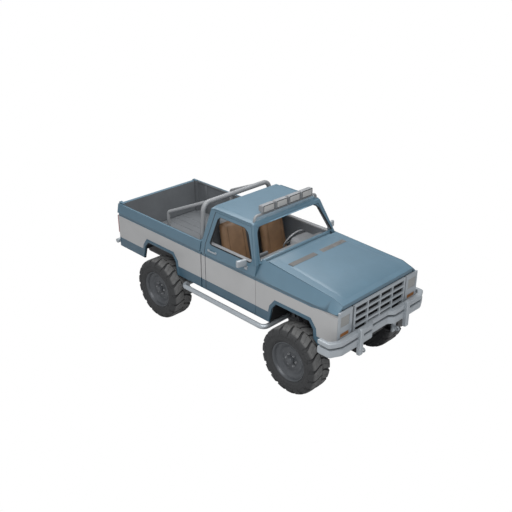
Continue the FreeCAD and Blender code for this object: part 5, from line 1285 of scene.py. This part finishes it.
def add_dashboard():
    """The dash with a rounded top, a hood over the dials, vents, a grab strip and a glove box."""
    bm = bmesh.new()
    outline = softened(DASH_OUTLINE + DASH_OUTLINE[:1], 0.25, 2)[:-1]
    strip(bm, [[(x, y, z) for x, z in outline] for y in (-DASH_HALF, DASH_HALF)])
    foot = HUMP_OUTLINE[0][1]
    hump = softened(HUMP_OUTLINE, 0.5, 4)
    strip(bm, [[(x, y, foot + (z - foot) * share) for y, z in hump] for x, share in HUMP_STATIONS])
    item = piece(bm, "dashboard_made", "chassis", DASH_PLASTIC, 40)
    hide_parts("dashboard")
    bm = bmesh.new()
    for block in DASH_BLOCKS:
        box_mesh(bm, *block)
    for y in (0.10, 0.22, 0.34, 0.46):
        both_sides(bm, (0.820, y, 1.640), (0.870, y + 0.095, 1.660), 0.002, 2)
    piece(bm, "dash_dark", "chassis", DARK_PLASTIC)
    bm = bmesh.new()
    for y, radius in DIALS:
        strip(bm, [[dial_spot(DIAL_FACE - depth, y, radius * share, turn) for turn in turns(32)]
                   for share, depth in DIAL_SECTION])
        for tick in range(TICK_COUNT):
            turn = math.radians(TICK_FIRST + tick * TICK_STEP)
            tube_mesh(bm, [dial_spot(0.532, y, radius * share, turn) for share in (0.70, 0.86)], 0.0011, 4)
        tip = (0.531, y + radius * 0.5, DIAL_HEIGHT + radius * 0.4)
        tube_mesh(bm, [(0.531, y, DIAL_HEIGHT), tip], 0.0012, 4)
    piece(bm, "dials", "chassis", DIAL, None)


# Levers: (knob's x, y and height, how far ahead its foot is); boots stand at their feet.
LEVERS = ((0.340, 0.045, 1.300, 0.150), (0.290, -0.055, 1.230, 0.110))
BOOT_STATIONS = ((0.062, 1.024), (0.055, 1.040), (0.040, 1.052), (0.028, 1.075), (0.014, 1.100))
FLOOR_HUMP = [(-0.230, 0.935), (-0.150, 1.030), (0.150, 1.030), (0.230, 0.935)]
FLOOR_ENDS = (-0.245, 0.960)
# Pedals: (across, half width), and their arm.
PEDALS = ((0.300, 0.028), (0.420, 0.040), (0.540, 0.032))
PEDAL_ARM = ((0.775, 1.120), (0.850, 1.250), (0.870, 1.420))


def add_cab_controls():
    """Column shroud and stalk, gear and transfer levers with boots, pedals and the floor hump."""
    bm = bmesh.new()
    strip(bm, [wheel_ring(size, near, 20) for size, near in SHROUD_STATIONS])
    tube_mesh(bm, [wheel_spot(-0.035, 0.0, -0.085), wheel_spot(-0.150, 0.030, -0.075)], 0.0055, 10)
    for x, y, z, base in LEVERS:
        lever = softened([(x + base, 0.960), (x + base * 0.6, 1.080), (x, z)], 0.4, 5)
        tube_mesh(bm, [(u, y, v) for u, v in lever], 0.008, 10)
        for vert in bmesh.ops.create_uvsphere(bm, u_segments=16, v_segments=10, radius=0.024)["verts"]:
            vert.co += Vector((x, y, z + 0.015))
    piece(bm, "column_and_levers", "chassis", DARK_PLASTIC, 50)
    bm = bmesh.new()
    strip(bm, [[(x, y, z) for y, z in softened(FLOOR_HUMP, 0.4, 4)] for x in FLOOR_ENDS])
    for x, y, z, base in LEVERS:
        strip(bm, [[(x + base + size * math.cos(turn), y + size * math.sin(turn), height)
                    for turn in turns(20)] for size, height in BOOT_STATIONS])
    for y, half in PEDALS:
        box_mesh(bm, (0.760, y - half, 1.075), (0.775, y + half, 1.155), 0.005, 2)
        tube_mesh(bm, [(x, y, z) for x, z in PEDAL_ARM], 0.008, 8)
    piece(bm, "floor_hump", "chassis", DARK_PLASTIC, 50)


SEAT_MIDDLE = 0.410
SEAT_SHIFTS = {"left": 0.0, "right": -0.820}
CUSHION = ((0.060, 0.156, 1.068), (0.508, 0.664, 1.206))
BACKREST = ((-0.003, 0.156, 1.070), (0.120, 0.664, 1.930))
BACK_LEAN = math.tan(math.radians(12))
LEAN_FROM = 1.045
BACK_TAPER = 0.14
PAD_ROUND = 0.045
VOXEL = 0.012
PUFF_LIMIT = 0.024
CLOTH_FRAMES = 20
CLOTH_SETTINGS = {"quality": 6, "mass": 0.3, "tension_stiffness": 12, "compression_stiffness": 12,
                  "bending_stiffness": 0.8, "use_pressure": True, "uniform_pressure_force": 4.0,
                  "vertex_group_mass": "pins"}
# The sewn lines: along the seat beside its middle, and across the cushion.
CHANNELS = (-0.150, 0.150)
CHANNEL_HALF = 0.007
CROSS_SEAM = 0.395
WELT = 0.0028
CUSHION_WELT = ((0.110, 1.209), (0.470, 1.209), (0.500, 1.190), (0.510, 1.150), (0.510, 1.090))
BACK_WELT = (1.220, 1.400, 1.600, 1.800, 1.890)


def pad_base(name, low, high, lean, taper):
    """A padded block's starting shape: rounded, leaning back and narrower at its top."""
    bm = bmesh.new()
    for vert in box_mesh(bm, low, high, PAD_ROUND, 4):
        share = max(0.0, (vert.co.z - low[2] - 0.60) / 0.30)
        vert.co.y = SEAT_MIDDLE + (vert.co.y - SEAT_MIDDLE) * (1 - taper * share)
        vert.co.x -= (vert.co.z - LEAN_FROM) * lean
    item = placed(name, mesh_of(bm, name))
    remesh = item.modifiers.new("voxels", "REMESH")
    remesh.mode = "VOXEL"
    remesh.voxel_size = VOXEL
    settle(item)
    return item


def puff(item, pinned):
    """Blows the cover up with cloth pressure, held along the pinned seams, and caps how far it moves."""
    group = item.vertex_groups.new(name="pins")
    group.add([vert.index for vert in item.data.vertices if pinned(vert.co)], 1.0, "REPLACE")
    before = [vert.co.copy() for vert in item.data.vertices]
    cloth = item.modifiers.new("cover", "CLOTH")
    for name, value in CLOTH_SETTINGS.items():
        setattr(cloth.settings, name, value)
    cloth.settings.effector_weights.gravity = 0
    cloth.point_cache.frame_start = 1
    cloth.point_cache.frame_end = CLOTH_FRAMES
    for frame_number in range(1, CLOTH_FRAMES + 1):
        scene.frame_set(frame_number)
    settle(item)
    scene.frame_set(1)
    for vert, start in zip(item.data.vertices, before):
        move = vert.co - start
        if move.length > PUFF_LIMIT:
            vert.co = start + move.normalized() * PUFF_LIMIT
    smooth = item.modifiers.new("smooth", "SMOOTH")
    smooth.factor = 0.5
    smooth.iterations = 2
    divide = item.modifiers.new("divide", "SUBSURF")
    divide.levels = 1
    divide.render_levels = 1
    settle(item)
    item.data.polygons.foreach_set("use_smooth", [True] * len(item.data.polygons))


def near_channel(y):
    """Whether a place across the seat is on one of its sewn channels."""
    return any(abs(y - SEAT_MIDDLE - line) < CHANNEL_HALF for line in CHANNELS)


def cushion_pins(place):
    """The cushion's underside and rear, and its seams on the top."""
    if place.z < 1.085 or place.x < 0.075:
        return True
    return place.z > 1.150 and (near_channel(place.y) or abs(place.x - CROSS_SEAM) < 0.006)


def back_pins(place):
    """The back's rear and foot, and its seams on the front."""
    upright = place.x + (place.z - LEAN_FROM) * BACK_LEAN
    if upright < 0.012 or place.z < 1.10:
        return True
    return upright > 0.090 and near_channel(place.y) and place.z < 1.90


def add_seat_trim(side_name, middle):
    """A seat's piping, its base plate and its hinges."""
    bm = bmesh.new()
    for line in CHANNELS:
        y = middle + line
        tube_mesh(bm, [(x, y, z) for x, z in CUSHION_WELT], WELT, 6)
        tube_mesh(bm, [(0.1225 - (z - LEAN_FROM) * BACK_LEAN, y, z) for z in BACK_WELT], WELT, 6)
    tube_mesh(bm, [(CROSS_SEAM, middle - 0.225, 1.209), (CROSS_SEAM, middle + 0.225, 1.209)], WELT, 6)
    piece(bm, f"seat_welts_{side_name}", "chassis", PIPING, 60)
    bm = bmesh.new()
    for outer in (1, -1):
        y = middle + outer * 0.268
        box_mesh(bm, (-0.020, y - 0.010, 1.040), (0.130, y + 0.010, 1.110), 0.006)
    box_mesh(bm, (-0.015, middle - 0.255, 1.046), (0.515, middle + 0.255, 1.072), 0.008)
    piece(bm, f"seat_hinges_{side_name}", "chassis", DARK_PLASTIC)


def add_seats():
    """Two bucket seats: crowned cushions and backs with sewn channels, and piping on the seams."""
    pads = [(pad_base("cushion", *CUSHION, 0.0, 0.0), cushion_pins),
            (pad_base("back", *BACKREST, BACK_LEAN, BACK_TAPER), back_pins)]
    for item, pins in pads:
        puff(item, pins)
        item.data.materials.clear()
        item.data.materials.append(VINYL)
    for side_name, shift in SEAT_SHIFTS.items():
        for item, pins in pads:
            pad = item
            if shift:
                pad = placed(f"{item.name}_right", item.data)
                pad.location.y = shift
            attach(pad, "chassis")
            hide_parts("seats")
        add_seat_trim(side_name, SEAT_MIDDLE + shift)


# The roof lamps: their middles, and a case's stations (x, share of the full section).
LAMP_PLACES = (-0.408, -0.136, 0.136, 0.408)
CASE_LOW = 2.312
CASE_HIGH = 2.433
CASE_HALF = 0.122
CASE_CUT = 0.010
CASE_STATIONS = ((0.586, 0.70), (0.600, 0.84), (0.640, 0.97), (0.676, 1.0), (0.682, 0.985))


def add_roof_lamps():
    """Four boxed lamps with tapered backs, framed faces and small feet."""
    cases = bmesh.new()
    faces = bmesh.new()
    seams = bmesh.new()
    middle = (CASE_LOW + CASE_HIGH) / 2
    for y in LAMP_PLACES:
        rails = []
        for x, share in CASE_STATIONS:
            reach = (CASE_HIGH - CASE_LOW) / 2 * share
            side = CASE_HALF * (0.90 + 0.10 * share)
            flank = [(side - CASE_CUT, -reach), (side, CASE_CUT - reach), (side, reach - CASE_CUT),
                     (side - CASE_CUT, reach)]
            rails.append([(x, y + out, middle + up) for out, up in flank]
                         + [(x, y - out, middle + up) for out, up in reversed(flank)])
        strip(cases, rails)
        for foot in (y - 0.070, y + 0.070):
            box_mesh(cases, (0.620, foot - 0.012, 2.286), (0.648, foot + 0.012, 2.320), 0.004, 2)
        box_mesh(faces, (0.672, y - 0.106, 2.326), (0.6832, y + 0.106, 2.419), 0.004)
        outer = rectangle(y - 0.112, y + 0.112, 2.320, 2.425)
        inner = rectangle(y - 0.104, y + 0.104, 2.328, 2.417)
        frame_ring(seams, outer, inner, lambda p, d: (0.6835 - d, p[0], p[1]), 0.006)
    item = piece(cases, "roof_lamp_cases", "chassis", LAMP_CASE, 30)
    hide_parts("roof_lamps")
    piece(faces, "roof_lamp_faces", "chassis", FACE_LENS)
    piece(seams, "roof_lamp_seams", "chassis", SEAL, None)


# The openings of the headlamps and turn lamps: their sides, and each one's low and high edge.
OPENING_SIDES = (0.657, 0.851)
OPENING_HEIGHTS = ((1.299, 1.469), (1.147, 1.223))
OPENING_FRAME = 0.009
OPENING_FACE = 2.4265
TAIL_RIBS = 9
TAIL_RIB_FIRST = 1.150
TAIL_RIB_PITCH = 0.033


def add_lamp_details():
    """Frames inside the front lamps' openings, and the tail lamps' ribs."""
    near, far = OPENING_SIDES
    bm = bmesh.new()
    for side in SIDES.values():
        for low, high in OPENING_HEIGHTS:
            outer, inner = (rectangle(side * (near + inset), side * (far - inset), low + inset, high - inset)
                            for inset in (0, OPENING_FRAME))
            frame_ring(bm, outer, inner, lambda p, d: (OPENING_FACE - d, p[0], p[1]), 0.012)
    piece(bm, "lamp_frames", "chassis", CHROME, None)
    bm = bmesh.new()
    for row in range(TAIL_RIBS):
        z = TAIL_RIB_FIRST + row * TAIL_RIB_PITCH
        both_sides(bm, (-2.5095, 0.814, z), (-2.5055, 0.879, z + 0.022), 0.0018, 2)
    piece(bm, "tail_lamp_ribs", "chassis", RED_LENS)


GATE_PLATE = ((-2.490, -0.150, 1.590), (-2.480, 0.150, 1.650), 0.004)
GATE_PULL = ((-2.503, -0.085, 1.606), (-2.484, 0.085, 1.630), 0.006)
STAKE_CAP = ((-2.483, 0.792, 1.655), (-2.377, 0.838, 1.681), 0.008)


def add_tailgate_details():
    """The tailgate's latch handle in its plate and the stake caps at the bed's corners."""
    bm = bmesh.new()
    box_mesh(bm, *GATE_PLATE)
    box_mesh(bm, *GATE_PULL)
    piece(bm, "gate_handle", "tailgate", DARK_PLASTIC)
    bm = bmesh.new()
    both_sides(bm, *STAKE_CAP)
    piece(bm, "stake_caps", "chassis", BLUE_PAINT)


# The camera, fitted to the truck's corners in the photograph.
CAMERA_PLACE = (7.450, -7.355, 6.355)
CAMERA_AZIMUTH = math.radians(45.369)
CAMERA_ELEVATION = math.radians(26.105)
CAMERA_LENS = 51.305
# Each light's place, the point that it looks at, its size in metres and its power in watts.
LIGHTS = {
    "key": ((4.5, -4.0, 8.0), (0, 0, 0.8), 6.0, 600),
    "top": ((-2.0, 1.0, 8.0), (-0.5, 0, 1.0), 6.0, 460),
    "fill": ((-4.0, -9.0, 3.5), (0, 0, 1.0), 5.0, 80),
    "cab": ((0.30, 0.0, 2.17), (0.28, 0, 1.0), 0.8, 5),
}
DOME_COLOR = (0.80, 0.82, 0.85)
DOME_STRENGTH = 0.52
FLOOR_HALF = 30.0


def add_camera():
    """The camera that was fitted to the photo."""
    data = bpy.data.cameras.new("camera")
    data.sensor_width = 36.0
    data.lens = CAMERA_LENS
    data.clip_end = 100.0
    camera = placed("camera", data)
    level = math.cos(CAMERA_ELEVATION)
    across, along = math.sin(CAMERA_AZIMUTH) * level, -math.cos(CAMERA_AZIMUTH) * level
    back = Vector((across, along, math.sin(CAMERA_ELEVATION)))
    camera.rotation_euler = back.to_track_quat("Z", "Y").to_euler()
    camera.location = CAMERA_PLACE
    scene.camera = camera


def add_stage():
    """A pale floor, a white surround, a soft dome and soft lights."""
    scene.view_settings.view_transform = "Standard"
    world = bpy.data.worlds.new("studio")
    scene.world = world
    world.use_nodes = True
    dome = world.node_tree.nodes["Background"]
    dome.inputs["Color"].default_value = solid(DOME_COLOR)
    dome.inputs["Strength"].default_value = DOME_STRENGTH
    white = world.node_tree.nodes.new("ShaderNodeBackground")
    white.inputs["Color"].default_value = solid(WHITE_MASK)
    seen_instead(world.node_tree, dome, white, "World Output")
    mesh = bpy.data.meshes.new("floor")
    corners = rectangle(-FLOOR_HALF, FLOOR_HALF, -FLOOR_HALF, FLOOR_HALF)
    mesh.from_pydata([(x, y, 0) for x, y in corners], [], [(0, 1, 2, 3)])
    floor = placed("floor", mesh)
    mesh.materials.append(floor_material())
    for name, (place, aim, size, power) in LIGHTS.items():
        data = bpy.data.lights.new(name, "AREA")
        data.shape = "SQUARE"
        data.size = size
        data.energy = power
        light = placed(name, data)
        light.location = place
        light.rotation_euler = (Vector(place) - Vector(aim)).to_track_quat("Z", "Y").to_euler()


dress_nodes()
add_seats()
add_refined()
add_wheels()
add_arch_lips()
add_front_bumper()
add_hood_details()
add_bed_ribs()
for side_name, side in SIDES.items():
    add_door_details(side_name, side)
add_cab_details()
add_steering_wheel()
add_dashboard()
add_cab_controls()
add_roof_lamps()
add_lamp_details()
add_tailgate_details()
add_camera()
add_stage()
